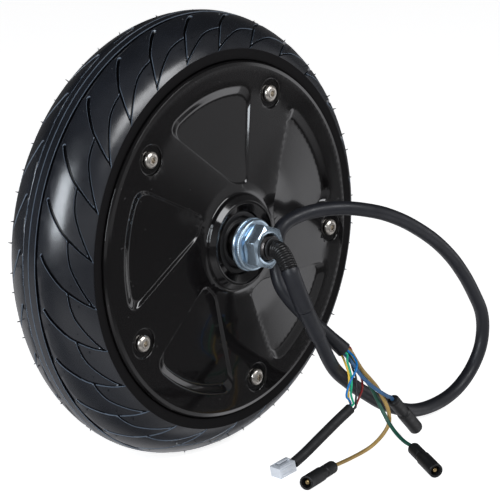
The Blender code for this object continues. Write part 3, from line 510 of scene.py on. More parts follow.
FINISHES = {
    "tyre_rubber": tyre_finish(),
    "gloss_black": paint_finish("gloss_black", (0.0040, 0.0036, 0.0038)),
    "zinc_plate": metal_finish("zinc_plate", (0.58, 0.72, 0.85), 0.17, 0.88, relief=0.000004),
    "stainless": metal_finish("stainless", (0.84, 0.79, 0.72), 0.30, 0.8),
    "axle_steel": metal_finish("axle_steel", (0.17, 0.155, 0.15), 0.40, 0.6),
    "bearing_steel": metal_finish("bearing_steel", (0.70, 0.70, 0.71), 0.18),
    "black_rubber": rubber_finish("black_rubber", (0.012, 0.012, 0.013), 0.42),
    "black_sheath": plastic_finish("black_sheath", (0.014, 0.015, 0.020), 0.42),
    "relief_rubber": plastic_finish("relief_rubber", (0.010, 0.0095, 0.010), 0.34),
    "woven_sleeve": plastic_finish("woven_sleeve", (0.014, 0.014, 0.015), 0.62, 0.5, 1400.0, 0.00025),
    "aluminium": metal_finish("aluminium", (0.70, 0.71, 0.72), 0.36, 0.8, relief=0.00005),
    "lamination": metal_finish("lamination", (0.30, 0.31, 0.33), 0.42, 0.7, (1.0, 12.0, 1.0), 0.00008),
    "insulator": plastic_finish("insulator", (0.78, 0.77, 0.72), 0.5),
    "copper": metal_finish("copper", (0.72, 0.33, 0.16), 0.3, 0.6, (1.0, 1.0, 6.0), 0.0001),
    "magnet": metal_finish("magnet", (0.45, 0.46, 0.48), 0.35),
    "board_green": plastic_finish("board_green", (0.03, 0.20, 0.08), 0.4),
    "phase_yellow": plastic_finish("phase_yellow", (0.42, 0.27, 0.08), 0.42, 0.7),
    "phase_blue": plastic_finish("phase_blue", (0.03, 0.11, 0.25), 0.42, 0.7),
    "phase_green": plastic_finish("phase_green", (0.010, 0.085, 0.055), 0.42, 0.7),
    "hall_yellow": plastic_finish("hall_yellow", (0.85, 0.55, 0.05), 0.4),
    "hall_blue": plastic_finish("hall_blue", (0.0, 0.17, 0.50), 0.4),
    "hall_green": plastic_finish("hall_green", (0.0, 0.42, 0.22), 0.4),
    "hall_black": plastic_finish("hall_black", (0.03, 0.03, 0.035), 0.4),
    "hall_red": plastic_finish("hall_red", (0.30, 0.02, 0.02), 0.4),
    "connector_black": plastic_finish(
        "connector_black", (0.012, 0.012, 0.013), 0.45, 0.7, 1400.0, 0.00004
    ),
    "connector_white": plastic_finish("connector_white", (0.60, 0.63, 0.68), 0.35, 0.93),
    "brass": metal_finish("brass", (0.80, 0.58, 0.28), 0.28),
}
FINISHES["zinc_plate"].set("Metallic", 0.9)


# --- Mesh helpers --------------------------------------------------------------------------------


def polar(radius, angle):
    return (radius * math.cos(angle), radius * math.sin(angle))


def upright(points):
    """World coordinates of (x, z, front) points."""
    points = np.asarray(points, float)
    return np.stack([points[:, 0], -points[:, 2], points[:, 1]], axis=1)


def add_piece(name, mesh, finish, body, replaced=()):
    """Links a piece with its finish, ties it to its body and hides the nodes it stands for."""
    piece = bpy.data.objects.new(name, mesh)
    bpy.context.scene.collection.objects.link(piece)
    mesh.materials.append(FINISHES[finish].material)
    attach(piece, body)
    if replaced:
        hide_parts(*replaced)
    return piece


def broad_shading(piece):
    """Lets the broad faces set the shading, so that the narrow bends beside them stay narrow."""
    shading = piece.modifiers.new("shading", "WEIGHTED_NORMAL")
    shading.keep_sharp = True


def solid_mesh(name, points, faces, sharp=35.0):
    """A mesh with its faces turned outwards and its edges sharp past an angle in degrees."""
    mesh = bpy.data.meshes.new(name)
    mesh.from_pydata([tuple(point) for point in points], [], faces)
    work = bmesh.new()
    work.from_mesh(mesh)
    bmesh.ops.remove_doubles(work, verts=work.verts, dist=0.0000005)
    bmesh.ops.recalc_face_normals(work, faces=work.faces)
    work.to_mesh(mesh)
    work.free()
    mesh.shade_smooth()
    mesh.set_sharp_from_angle(angle=math.radians(sharp))
    return mesh


class Shape:
    """Points and faces of one closed piece in wheel coordinates (x, z, front)."""

    def __init__(self):
        self.points = []
        self.faces = []

    def add(self, points):
        start = len(self.points)
        self.points.extend(tuple(point) for point in points)
        return list(range(start, len(self.points)))

    def loop(self, radius, front, columns, centre=(0.0, 0.0)):
        """A ring of points. Its radius and its front are numbers or functions of the angle."""
        points = []
        for i in range(columns):
            angle = math.tau * i / columns
            x, z = polar(radius(angle) if callable(radius) else radius, angle)
            points.append((x + centre[0], z + centre[1], front(angle) if callable(front) else front))
        return self.add(points)

    def strip(self, one, two):
        """Quads between two rings."""
        count = len(one)
        for i in range(count):
            j = (i + 1) % count
            self.faces.append((one[i], one[j], two[j], two[i]))

    def join(self, rings):
        for one, two in zip(rings, rings[1:]):
            self.strip(one, two)

    def rows(self, profile, columns, centre=(0.0, 0.0)):
        return [self.loop(radius, front, columns, centre) for radius, front in profile]

    def mesh(self, name, sharp=35.0):
        return solid_mesh(name, upright(self.points), self.faces, sharp)


def rounded(corners, steps=4):
    """A closed outline with its corners rounded. A corner is (x, y) or (x, y, radius)."""
    outline = []
    count = len(corners)
    for i, corner in enumerate(corners):
        here = Vector(corner[:2])
        radius = corner[2] if len(corner) > 2 else 0.0
        if not radius:
            outline.append(tuple(here))
            continue
        back = (Vector(corners[i - 1][:2]) - here).normalized()
        ahead = (Vector(corners[(i + 1) % count][:2]) - here).normalized()
        half = back.angle(ahead) / 2
        reach = radius / math.tan(half)
        centre = here + (back + ahead).normalized() * radius / math.sin(half)
        start = here + back * reach - centre
        end = here + ahead * reach - centre
        sweep = start.angle_signed(end)
        for step in range(steps + 1):
            turn = Matrix.Rotation(-sweep * step / steps, 2)
            outline.append(tuple(centre + turn @ start))
    return outline


def turned_mesh(name, profile, columns, sharp=35.0):
    """A closed profile of (radius, front) points turned round the wheel's axis."""
    shape = Shape()
    rings = shape.rows(profile, columns)
    shape.join([*rings, rings[0]])
    return shape.mesh(name, sharp)


def flipped(profile):
    return [(point[0], -point[1], *point[2:]) for point in profile]


def smooth_route(points, steps=12):
    """Closely spaced points on one smooth curve through a route's own points."""
    route = [Vector(point) for point in points]
    ends = [2 * route[0] - route[1], *route, 2 * route[-1] - route[-2]]
    curve = []
    for before, start, end, after in zip(ends, ends[1:], ends[2:], ends[3:]):
        for i in range(steps):
            t = i / steps
            curve.append(
                0.5
                * (
                    2 * start
                    + (end - before) * t
                    + (2 * before - 5 * start + 4 * end - after) * t**2
                    + (3 * start - before - 3 * end + after) * t**3
                )
            )
    curve.append(route[-1])
    return curve


def stretch(curve, start, end, spacing):
    """Evenly spaced points on the curve from one distance along it to another."""
    steps = [(two - one).length for one, two in zip(curve, curve[1:])]
    distances = np.concatenate([[0.0], np.cumsum(steps)])
    if end is None:
        end = distances[-1]
    places = np.linspace(start, end, max(2, math.ceil((end - start) / spacing)) + 1)
    coordinates = np.array(curve)
    columns = [np.interp(places, distances, coordinates[:, axis]) for axis in range(3)]
    return [Vector(point) for point in np.stack(columns, axis=1)]


def frames_along(points):
    """At each point of a path, two directions across it that turn as little as possible."""
    tangents = []
    for i in range(len(points)):
        ahead = points[min(i + 1, len(points) - 1)]
        tangents.append((ahead - points[max(i - 1, 0)]).normalized())
    across = tangents[0].orthogonal().normalized()
    frames = []
    for tangent in tangents:
        across = (across - tangent * across.dot(tangent)).normalized()
        frames.append((across, tangent.cross(across)))
    return frames


def tube_points(points, radii, sides, bore=None):
    """A round cord along the points, solid or with a bore. A radius is one number or a list."""
    frames = frames_along(points)
    if not isinstance(radii, list):
        radii = [radii] * len(points)
    shape = Shape()

    def ring(index, radius):
        across, up = frames[index]
        angles = (math.tau * side / sides for side in range(sides))
        return shape.add(
            points[index] + radius * (math.cos(angle) * across + math.sin(angle) * up)
            for angle in angles
        )

    rings = [ring(i, radius) for i, radius in enumerate(radii)]
    if bore:
        rings += [ring(i, bore) for i in reversed(range(len(points)))]
        rings.append(rings[0])
        shape.join(rings)
    else:
        shape.join(rings)
        shape.faces.append(tuple(rings[0]))
        shape.faces.append(tuple(reversed(rings[-1])))
    return shape


def tube_mesh(name, points, radii, sides, bore=None, sharp=40.0):
    shape = tube_points(points, radii, sides, bore)
    return solid_mesh(name, shape.points, shape.faces, sharp)


def end_frame(curve, at_end):
    """The place, outward direction and two cross directions at one end of a curve."""
    place, neighbour = (curve[-1], curve[-2]) if at_end else (curve[0], curve[1])
    out = (place - neighbour).normalized()
    across = out.cross(Vector((0.0, 0.0, 1.0))).normalized()
    return place, out, across, across.cross(out)


def on_face(end, radius, angle, distance):
    place, out, across, up = end
    turn = math.radians(angle)
    return place + out * distance + radius * (math.cos(turn) * across + math.sin(turn) * up)


# --- Cords ---------------------------------------------------------------------------------------


def make_cable():
    """The motor cable, with its ribbed bend relief and the two sleeves shrunk onto it."""
    curve = smooth_route(CABLE_ROUTE)
    cable_points = stretch(curve, 0.0, None, 0.0022)
    mouth = 4
    radii = [CABLE_RADIUS] * (len(cable_points) - mouth)
    radii += [CABLE_RADIUS + 0.00009 * (i + 1) for i in range(mouth)]
    mesh = tube_mesh("motor_cable", cable_points, radii, 24, CABLE_RADIUS - 0.0003)
    cable = add_piece("motor_cable", mesh, "black_sheath", "axle", ["motor_cable"])

    rib_pitch = 0.0010
    relief_points = stretch(curve, 0.0, RELIEF_END, rib_pitch / 6)
    relief_radii = []
    for i in range(len(relief_points)):
        phase = (i % 6) / 6
        relief_radii.append(RELIEF_RADIUS + 0.0001 - 0.00026 * math.cos(math.pi * phase) ** 4)
    mesh = tube_mesh("bend_relief", relief_points, relief_radii, 40, CABLE_RADIUS + 0.00005)
    relief = add_piece("bend_relief", mesh, "relief_rubber", "axle", ["bend_relief"])

    for name, start, end, radius in (
        ("sleeve_long", RELIEF_END, SLEEVE_LONG_END, SLEEVE_LONG_RADIUS),
        ("sleeve_short", SLEEVE_LONG_END, SLEEVE_SHORT_END, SLEEVE_SHORT_RADIUS),
    ):
        points = stretch(curve, start + GAP / 2, end - GAP / 2, 0.0012)
        radii = [radius] * len(points)
        radii[0] = radii[-1] = radius - 0.00010
        radii[1] = radii[-2] = radius + 0.00014
        mesh = tube_mesh(name, points, radii, 32, CABLE_RADIUS + 0.00005)
        add_piece(name, mesh, "black_sheath", "axle", [name])

    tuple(CABLE_ROUTE[0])
    return end_frame(curve, True)


def make_bullet(colour, start, end):
    """A rubber-sleeved bullet connector: a boot, a waist and an open front barrel with its pin."""
    length = (end - start).length
    profile = [
        (0.0010, 0.0), (0.0023, 0.0001, 0.0003), (0.0029, 0.0011, 0.0004),
        (0.0029, 0.35 * length, 0.0003), (0.0026, 0.37 * length, 0.0001),
        (0.0026, 0.44 * length, 0.0001), (0.00325, 0.46 * length, 0.0004),
        (0.00325, length, 0.0003), (0.0023, length, 0.0002), (0.0022, length - 0.0058),
        (0.0012, length - 0.0058), (0.0010, 0.0006),
    ]
    turn = (end - start).to_track_quat("Z", "Y").to_matrix().to_4x4()
    place = Matrix.Translation(start) @ turn

    def along(name, outline, columns, finish, replaced=()):
        shape = Shape()
        rings = shape.rows(outline, columns)
        shape.join([*rings, rings[0]])
        mesh = solid_mesh(name, shape.points, shape.faces)
        mesh.transform(place)
        return add_piece(name, mesh, finish, "axle", replaced)

    name = f"bullet_connector_{colour}"
    bullet = along(name, rounded(profile), 40, "connector_black", [name])
    tip = length - 0.0010
    pin = [
        (0.0, tip), (0.0009, tip, 0.0003), (0.0013, tip - 0.0008, 0.0002),
        (0.0013, length - 0.0080), (0.0, length - 0.0080),
    ]
    return bullet, along(f"bullet_pin_{colour}", rounded(pin), 20, "brass")


def make_phase_wires(cable_end):
    for colour, wire in PHASE_WIRES.items():
        first, last = (Vector(point) for point in wire["connector"])
        direction = (last - first).normalized()
        angle = wire["start_angle"]
        inside = on_face(cable_end, 0.93 * PHASE_START_RADIUS, angle, -0.004)
        start = on_face(cable_end, PHASE_START_RADIUS, angle, GAP)
        lead = on_face(cable_end, PHASE_START_RADIUS * 1.1, angle, 0.003)
        finish = first - direction * GAP
        points = [start, lead, *wire["route"], finish - direction * 0.002, finish]
        path = stretch([inside, *smooth_route(points)], 0.0, None, 0.0010)
        name = f"phase_wire_{colour}"
        mesh = tube_mesh(name, path, PHASE_RADIUS, 16)
        piece = add_piece(name, mesh, f"phase_{colour}", "axle", [name])
        connector = make_bullet(colour, first, last)


def make_hall_connector(sleeve_end):
    """A white six-way housing with its latch, ribs and open cavities, lying on the floor."""
    low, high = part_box("hall_connector")
    out = sleeve_end[1]
    length, width, height = 0.0095, 0.0068, 0.0052
    slope = math.radians(14)
    level = Vector((out.x, out.y, 0.0)).normalized()
    ahead = (level * math.cos(slope) - Vector((0.0, 0.0, math.sin(slope)))).normalized()
    side = ahead.cross(Vector((0.0, 0.0, 1.0))).normalized()
    above = side.cross(ahead)
    centre = (low + high) / 2
    centre.z = low.z + (height * math.cos(slope) + length * math.sin(slope)) / 2
    turn = Matrix((ahead, side, above)).transposed().to_4x4()
    work = bmesh.new()

    def block(size, place, bevel=0.0002):
        matrix = Matrix.Translation(place) @ Matrix.Diagonal((*size, 1.0))
        made = bmesh.ops.create_cube(work, size=1.0, matrix=matrix)
        edges = {edge for vertex in made["verts"] for edge in vertex.link_edges}
        bmesh.ops.bevel(work, geom=list(edges), offset=bevel, segments=2, affect="EDGES", profile=0.5)

    block((length, width, height), (0.0, 0.0, 0.0), 0.00035)
    block((0.0058, 0.0016, 0.0007), (-0.0006, 0.0, height / 2 + 0.0009))
    block((0.0012, 0.0030, 0.0011), (-0.0032, 0.0, height / 2 + 0.0005))
    for y in (-0.0024, 0.0024):
        block((0.0072, 0.0007, 0.0004), (-0.0004, y, height / 2 + 0.0001), 0.0001)
    for z in (-0.0012, 0.0012):
        block((0.0062, 0.0006, 0.0007), (0.0006, width / 2, z), 0.0001)
        block((0.0062, 0.0006, 0.0007), (0.0006, -width / 2, z), 0.0001)
    mesh = bpy.data.meshes.new("hall_connector")
    work.to_mesh(mesh)
    work.free()
    mesh.transform(Matrix.Translation(centre) @ turn)
    housing = add_piece("hall_connector", mesh, "connector_white", "axle", ["hall_connector"])
    cutter_work = bmesh.new()
    for y in (-0.0021, 0.0, 0.0021):
        for z in (-0.00115, 0.00115):
            for x, depth, width in ((length / 2, 0.0060, 0.0014), (-length / 2, 0.0030, 0.0013)):
                matrix = Matrix.Translation((x, y, z)) @ Matrix.Diagonal((depth, width, width, 1.0))
                bmesh.ops.create_cube(cutter_work, size=1.0, matrix=matrix)
    cutter_mesh = bpy.data.meshes.new("cavities")
    cutter_work.to_mesh(cutter_mesh)
    cutter_work.free()
    cutter_mesh.transform(Matrix.Translation(centre) @ turn)
    apply_boolean(housing, cutter_mesh, "DIFFERENCE")
    return housing


def apply_boolean(piece, other_mesh, operation):
    """Cuts or joins another mesh for good, and leaves nothing else in the scene."""
    other = bpy.data.objects.new("other", other_mesh)
    bpy.context.scene.collection.objects.link(other)
    modifier = piece.modifiers.new("boolean", "BOOLEAN")
    modifier.operation = operation
    modifier.object = other
    modifier.solver = "EXACT"
    modifier.use_self = True
    graph = bpy.context.evaluated_depsgraph_get()
    mesh = bpy.data.meshes.new_from_object(piece.evaluated_get(graph))
    piece.modifiers.clear()
    piece.data = mesh
    bpy.data.objects.remove(other)
    mesh.shade_smooth()
    mesh.set_sharp_from_angle(angle=math.radians(35.0))


def make_hall_harness(cable_end):
    sleeve_curve = smooth_route(HALL_SLEEVE_ROUTE)
    sleeve_path = stretch(sleeve_curve, 0.0, None, 0.0010)
    mesh = tube_mesh("hall_sleeve", sleeve_path, HALL_SLEEVE_RADIUS, 20, HALL_SLEEVE_RADIUS - 0.0002)
    sleeve = add_piece("hall_sleeve", mesh, "woven_sleeve", "axle", ["hall_sleeve"])
    housing = make_hall_connector(end_frame(sleeve_curve, True))
    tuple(HALL_SLEEVE_ROUTE[0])
    sleeve_start = end_frame(sleeve_curve, False)
    for colour, wire in HALL_WIRES.items():
        angle = wire["start_angle"]
        finish_angle = wire["finish_angle"]
        inside = on_face(cable_end, 0.86 * HALL_START_RADIUS, angle, -0.004)
        start = on_face(cable_end, HALL_START_RADIUS, angle, GAP)
        lead = on_face(cable_end, HALL_START_RADIUS * 1.05, angle, 0.0018)
        finish = on_face(sleeve_start, HALL_FINISH_RADIUS, finish_angle, GAP)
        approach = on_face(sleeve_start, HALL_FINISH_RADIUS * 1.2, finish_angle, 0.0020)
        last = on_face(sleeve_start, HALL_FINISH_RADIUS, finish_angle, -0.003)
        curve = smooth_route([start, lead, *wire["route"], approach, finish])
        path = stretch([inside, *curve, last], 0.0, None, 0.0007)
        name = f"hall_wire_{colour}"
        mesh = tube_mesh(name, path, HALL_RADIUS, 12)
        piece = add_piece(name, mesh, f"hall_{colour}", "axle", [name])


# --- End walls of the wheel ----------------------------------------------------------------------


WALL_OUTER = 0.0775  # where the flat of an end wall turns over to its rim
WALL_INNER = 0.0226  # where it meets the boss
PETAL_COUNT = 5
FIRST_PETAL_ANGLE = math.radians(32)
PETAL_STEPS = 9  # rows down a petal's wall
HOLE_RADIUS = 0.0021
RECESS_COLUMNS = 56
FIELD_SPACING = 0.0030  # between a wall's free points
FIELD_GAP = 0.0011  # between a free point and the nearest loop
# A screw recess, as (radius round the screw, share of the face's height kept)
RECESS_ROWS = [
    (0.0070, 1.0), (0.0068, 0.93), (0.0066, 0.72), (0.00652, 0.30), (0.0064, 0.08), (0.0061, 0.0)
]


def face_height(radius):
    """How far in front of the middle plane an end wall stands, from its boss to its rim."""
    radii = [0.0226, 0.0238, 0.0260, 0.0655, 0.0775]
    heights = [0.0294, 0.02905, 0.0289, 0.02635, 0.0261]
    return float(np.interp(radius, radii, heights))


def floor_height(radius):
    """The same for the floor of a petal, which is shallow near the boss."""
    depth = np.interp(radius, [0.0250, 0.0400, 0.0645], [0.0005, 0.0014, 0.0016])
    return face_height(radius) - float(depth)


def eased(share, bend=0.22):
    """A straight ramp from 0 to 1 whose two ends are rounded over a share of its length."""
    scale = 1.0 / (1.0 - bend)
    if share < bend:
        return scale * share * share / (2 * bend)
    if share > 1 - bend:
        return 1.0 - scale * (1 - share) ** 2 / (2 * bend)
    return scale * (share - bend / 2)


def cut_side(side, start_cut, end_cut, count):
    """A dense side of an outline, shortened by a distance at either end and resampled."""
    steps = np.linalg.norm(np.diff(side, axis=0), axis=1)
    distances = np.concatenate([[0.0], np.cumsum(steps)])
    places = np.linspace(start_cut, distances[-1] - end_cut, count)
    return np.stack([np.interp(places, distances, side[:, axis]) for axis in range(2)], axis=1)


def petal_outline(angle, inset, outer_inset):
    """One swirled petal: two straight sides and two round ends, joined by smooth corners."""
    dense = 60

    def line(start, end):
        return np.linspace(np.array(polar(*start)), np.array(polar(*end)), dense)

    def arc(radius, start, end):
        return np.array([polar(radius, turn) for turn in np.linspace(start, end, dense)])

    leading = line((0.0260, math.radians(-31)), (0.0660, math.radians(-25)))
    trailing = line((0.0670, math.radians(23)), (0.0255, math.radians(-10)))
    sides = []
    for side in (leading, trailing):
        along = side[-1] - side[0]
        inward = np.array([-along[1], along[0]]) / np.linalg.norm(along)
        sides.append(side + inset * inward)
    outer = 0.0695 - outer_inset
    inner = 0.0254 + inset

    def meet(side, radius, near):
        """Where a straight side, made longer, crosses a radius: near its start (0) or end (1)."""
        start, along = side[0], side[-1] - side[0]
        a = along @ along
        b = 2 * start @ along
        c = start @ start - radius * radius
        roots = [(-b + sign * math.sqrt(b * b - 4 * a * c)) / (2 * a) for sign in (-1, 1)]
        return start + min(roots, key=lambda root: abs(root - near)) * along

    corners = [
        meet(sides[0], inner, 0.0),
        meet(sides[0], outer, 1.0),
        meet(sides[1], outer, 0.0),
        meet(sides[1], inner, 1.0),
    ]
    angles = [math.atan2(corner[1], corner[0]) for corner in corners]
    outline_sides = [
        np.linspace(corners[0], corners[1], dense),
        arc(outer, angles[1], angles[2]),
        np.linspace(corners[2], corners[3], dense),
        arc(inner, angles[3], angles[0]),
    ]
    outer_cut = 0.0070 - 0.4 * inset
    inner_cut = 0.0038 - 0.3 * inset
    cuts = [inner_cut, outer_cut, outer_cut, inner_cut]
    counts = [44, 56, 44, 7]
    pieces = [
        cut_side(side, cuts[i], cuts[(i + 1) % 4], counts[i]) for i, side in enumerate(outline_sides)
    ]
    outline = []
    for i, piece in enumerate(pieces):
        following = pieces[(i + 1) % 4]
        corner = corners[(i + 1) % 4]
        outline.extend(piece)
        for t in np.linspace(0.0, 1.0, 12)[1:-1]:
            outline.append(
                (1 - t) ** 3 * piece[-1]
                + 3 * (1 - t) ** 2 * t * (piece[-1] + 0.6 * (corner - piece[-1]))
                + 3 * (1 - t) * t**2 * (following[0] + 0.6 * (corner - following[0]))
                + t**3 * following[0]
            )
    turn = np.array([[math.cos(angle), math.sin(angle)], [-math.sin(angle), math.cos(angle)]])
    return np.array(outline) @ turn


def inside(points, outline):
    """Which points lie inside a closed outline."""
    x, y = points[:, 0], points[:, 1]
    crossed = np.zeros(len(points), bool)
    for (x1, y1), (x2, y2) in zip(outline, np.roll(outline, -1, axis=0)):
        if y1 == y2:
            continue
        crossing = ((y1 > y) != (y2 > y)) & (x < (x2 - x1) * (y - y1) / (y2 - y1) + x1)
        crossed ^= crossing
    return crossed


def nearest(points, others):
    """The distance from each point to the nearest of the others."""
    best = np.full(len(points), np.inf)
    for start in range(0, len(others), 400):
        gaps = points[:, None, :] - others[None, start : start + 400, :]
        best = np.minimum(best, np.sqrt((gaps**2).sum(axis=2)).min(axis=1))
    return best


def screw_centres():
    return [polar(SCREW_CIRCLE, FIRST_SCREW_ANGLE + SCREW_SPACING * i) for i in range(SCREW_COUNT)]


class Plan:
    """A wall seen from in front: loops and free points, before they are triangulated."""

    def __init__(self):
        self.places = []
        self.heights = []
        self.edges = []

    def loop(self, places, heights):
        start, count = len(self.places), len(places)
        self.places.extend(tuple(place) for place in places)
        self.heights.extend(heights)
        self.edges.extend((start + i, start + (i + 1) % count) for i in range(count))
        return list(range(start, start + count))

    def circle(self, radius, columns, height, centre=(0.0, 0.0)):
        around = [polar(radius, math.tau * i / columns) for i in range(columns)]
        return self.loop([(x + centre[0], z + centre[1]) for x, z in around], [height] * columns)

    def fill(self, shape, side, rings, bore, centres, hole_radius):
        """Adds triangles, open in the bore and holes, and returns the outer, inner and hole rings."""
        found, _, triangles, origins, _, _ = delaunay_2d_cdt(
            [Vector(place) for place in self.places], self.edges, [], 0, MERGE
        )
        start = len(shape.points)
        index_of = {}
        for i, (place, origin) in enumerate(zip(found, origins)):
            height = self.heights[origin[0]] if origin else face_height(place.length)
            shape.points.append((place.x, place.y, side * height))
            for one in origin:
                index_of[one] = start + i
        for triangle in triangles:
            middle = sum((found[i] for i in triangle), Vector((0.0, 0.0))) / 3
            in_hole = any((middle - Vector(centre)).length < 0.999 * hole_radius for centre in centres)
            if middle.length > bore and not in_hole:
                shape.faces.append(tuple(start + i for i in triangle))
        outer, inner, *holes = [[index_of[i] for i in ring] for ring in rings]
        return outer, inner, holes


def add_petal(plan, angle):
    """Adds the rows of a petal's wall, and returns its top and bottom outlines."""
    top = petal_outline(angle, 0.0, 0.0)
    bottom = petal_outline(angle, 0.0011, 0.0052)
    for step in range(PETAL_STEPS + 1):
        share = step / PETAL_STEPS
        loop = top + share * (bottom - top)
        heights = []
        for radius in np.linalg.norm(loop, axis=1):
            face = face_height(radius)
            heights.append(face + eased(share) * (floor_height(radius) - face))
        plan.loop(loop, heights)
    return top, bottom


def add_recess(plan, centre):
    """Adds the rows of a screw's recess, and returns the ring of its hole."""
    turns = [math.tau * i / RECESS_COLUMNS for i in range(RECESS_COLUMNS)]
    for radius, kept in RECESS_ROWS:
        loop = [np.array(centre) + np.array(polar(radius, turn)) for turn in turns]
        rises = [face_height(np.linalg.norm(point)) - SCREW_SEAT for point in loop]
        plan.loop(loop, [SCREW_SEAT + kept * rise for rise in rises])
    return plan.circle(HOLE_RADIUS, RECESS_COLUMNS, SCREW_SEAT, centre)


def add_field(plan, petals, centres):
    """Adds evenly spaced points between the loops, so that the triangles stay small."""
    field = []
    for radius in np.arange(WALL_INNER + 0.0014, WALL_OUTER - 0.0010, FIELD_SPACING):
        columns = round(math.tau * radius / FIELD_SPACING)
        shift = 0.5 * (columns % 2)
        field.extend(polar(radius, math.tau * (i + shift) / columns) for i in range(columns))
    field = np.array(field)
    field = field[nearest(field, np.array(plan.places)) > FIELD_GAP]
    in_recess, in_petal, in_floor = np.zeros((3, len(field)), bool)
    for centre in centres:
        in_recess |= np.linalg.norm(field - centre, axis=1) < RECESS_ROWS[0][0]
    for top, bottom in petals:
        in_petal |= inside(field, top)
        in_floor |= inside(field, bottom)
    for point, petal, floor, recess in zip(field, in_petal, in_floor, in_recess):
        if recess or (petal and not floor):
            continue
        radius = math.hypot(*point)
        plan.places.append(tuple(point))
        plan.heights.append(floor_height(radius) if floor else face_height(radius))


def wall_face(shape, side, with_screws):
    """Adds the outside of an end wall, and returns its outer, inner and screw-hole rings."""
    plan = Plan()
    rings = [plan.circle(radius, WALL_COLUMNS, face_height(radius)) for radius in (WALL_OUTER, WALL_INNER)]
    turns = [FIRST_PETAL_ANGLE + math.tau * index / PETAL_COUNT for index in range(PETAL_COUNT)]
    petals = [add_petal(plan, turn) for turn in turns]
    centres = screw_centres() if with_screws else []
    rings += [add_recess(plan, centre) for centre in centres]
    add_field(plan, petals, centres)
    return plan.fill(shape, side, rings, WALL_INNER, centres, HOLE_RADIUS)


def ring_plate(shape, outer_radius, inner_radius, front, hole_radius):
    """Adds a flat ring with a hole for each cover screw, and returns its rings of points."""
    plan = Plan()
    rings = [plan.circle(radius, WALL_COLUMNS, front) for radius in (outer_radius, inner_radius)]
    centres = screw_centres()
    rings += [plan.circle(hole_radius, RECESS_COLUMNS, front, centre) for centre in centres]
    return plan.fill(shape, 1, rings, inner_radius, centres, hole_radius)


def boss_profile():
    """The raised boss round the axle, from the seal's bore out to the wall's face."""
    return rounded(
        [
            (SEAL_SEAT, 0.0300), (SEAL_SEAT, 0.0316, 0.0004), (0.0177, 0.0333, 0.0004),
            (0.0188, 0.0334, 0.0006), (0.0211, 0.0316, 0.0004), (0.0214, 0.0300, 0.0008),
            (0.0220, 0.02955),
        ]
    )


def rim_profile():
    """From the wall's face over its rounded rim, to the rim's cylinder."""
    return rounded(
        [
            (0.0777, 0.02605), (0.0791, 0.02560, 0.0003), (RIM_RADIUS, 0.0246, 0.0003),
            (RIM_RADIUS, 0.0230),
        ]
    )


def make_front_cover():
    shape = Shape()
    outer, inner, holes = wall_face(shape, 1, True)
    back_outer, back_inner, back_holes = ring_plate(
        shape, RIM_RADIUS, SPIGOT_RADIUS, COVER_BACK, HOLE_RADIUS
    )
    rim = shape.rows(rim_profile(), WALL_COLUMNS)
    shape.join([outer, *rim, back_outer])
    inside_rows = [
        (SPIGOT_RADIUS, 0.0190), (SPIGOT_BORE, 0.0190), (0.0595, 0.0226), (0.0225, 0.0226),
        (0.0220, 0.0175), (BEARING_SEAT, 0.0175), (BEARING_SEAT, 0.0280), (SEAL_SEAT, 0.0280),
    ]
    rows = shape.rows([*inside_rows, *boss_profile()], WALL_COLUMNS)
    shape.join([back_inner, *rows, inner])
    for one, two in zip(holes, back_holes):
        shape.strip(one, two)
    cover = add_piece("front_cover", shape.mesh("front_cover"), "gloss_black", "wheel", ["front_cover"])
    broad_shading(cover)


def make_shell():
    """The shell's barrel and its rear wall, which mirrors the front cover without its screws."""
    shape = Shape()
    outer, inner, _ = wall_face(shape, -1, False)
    front_outer, front_inner, holes = ring_plate(
        shape, BARREL_RADIUS, BARREL_BORE, BARREL_FRONT, TAPPED_HOLE_RADIUS
    )
    rim = shape.rows(flipped(rim_profile()), WALL_COLUMNS)
    seat = shape.rows([(RIM_RADIUS, -COVER_BACK), (BARREL_RADIUS, -COVER_BACK)], WALL_COLUMNS)
    shape.join([outer, *rim, *seat, front_outer])
    inside_rows = [
        (BARREL_BORE, -0.0210), (SPIGOT_BORE, -0.0226), (0.0225, -0.0226), (0.0220, -0.0175),
        (BEARING_SEAT, -0.0175), (BEARING_SEAT, -0.0280), (SEAL_SEAT, -0.0280),
    ]
    rows = shape.rows([*inside_rows, *flipped(boss_profile())], WALL_COLUMNS)
    shape.join([front_inner, *rows, inner])
    for hole, centre in zip(holes, screw_centres()):
        bottom = shape.loop(TAPPED_HOLE_RADIUS, TAPPED_HOLE_END, RECESS_COLUMNS, centre)
        shape.strip(hole, bottom)
        shape.faces.append(tuple(bottom))
    shell = add_piece("wheel_shell", shape.mesh("wheel_shell"), "gloss_black", "wheel", ["wheel_shell"])
    broad_shading(shell)


# --- Screws, nuts, washers and axle --------------------------------------------------------------


def hexagon(across_flats, turn=0.0):
    """The radius of a hexagon as a function of the angle."""
    apothem = across_flats / 2

    def radius(angle):
        offset = (angle - turn + math.pi / 6) % (math.pi / 3) - math.pi / 6
        return apothem / math.cos(offset)

    return radius


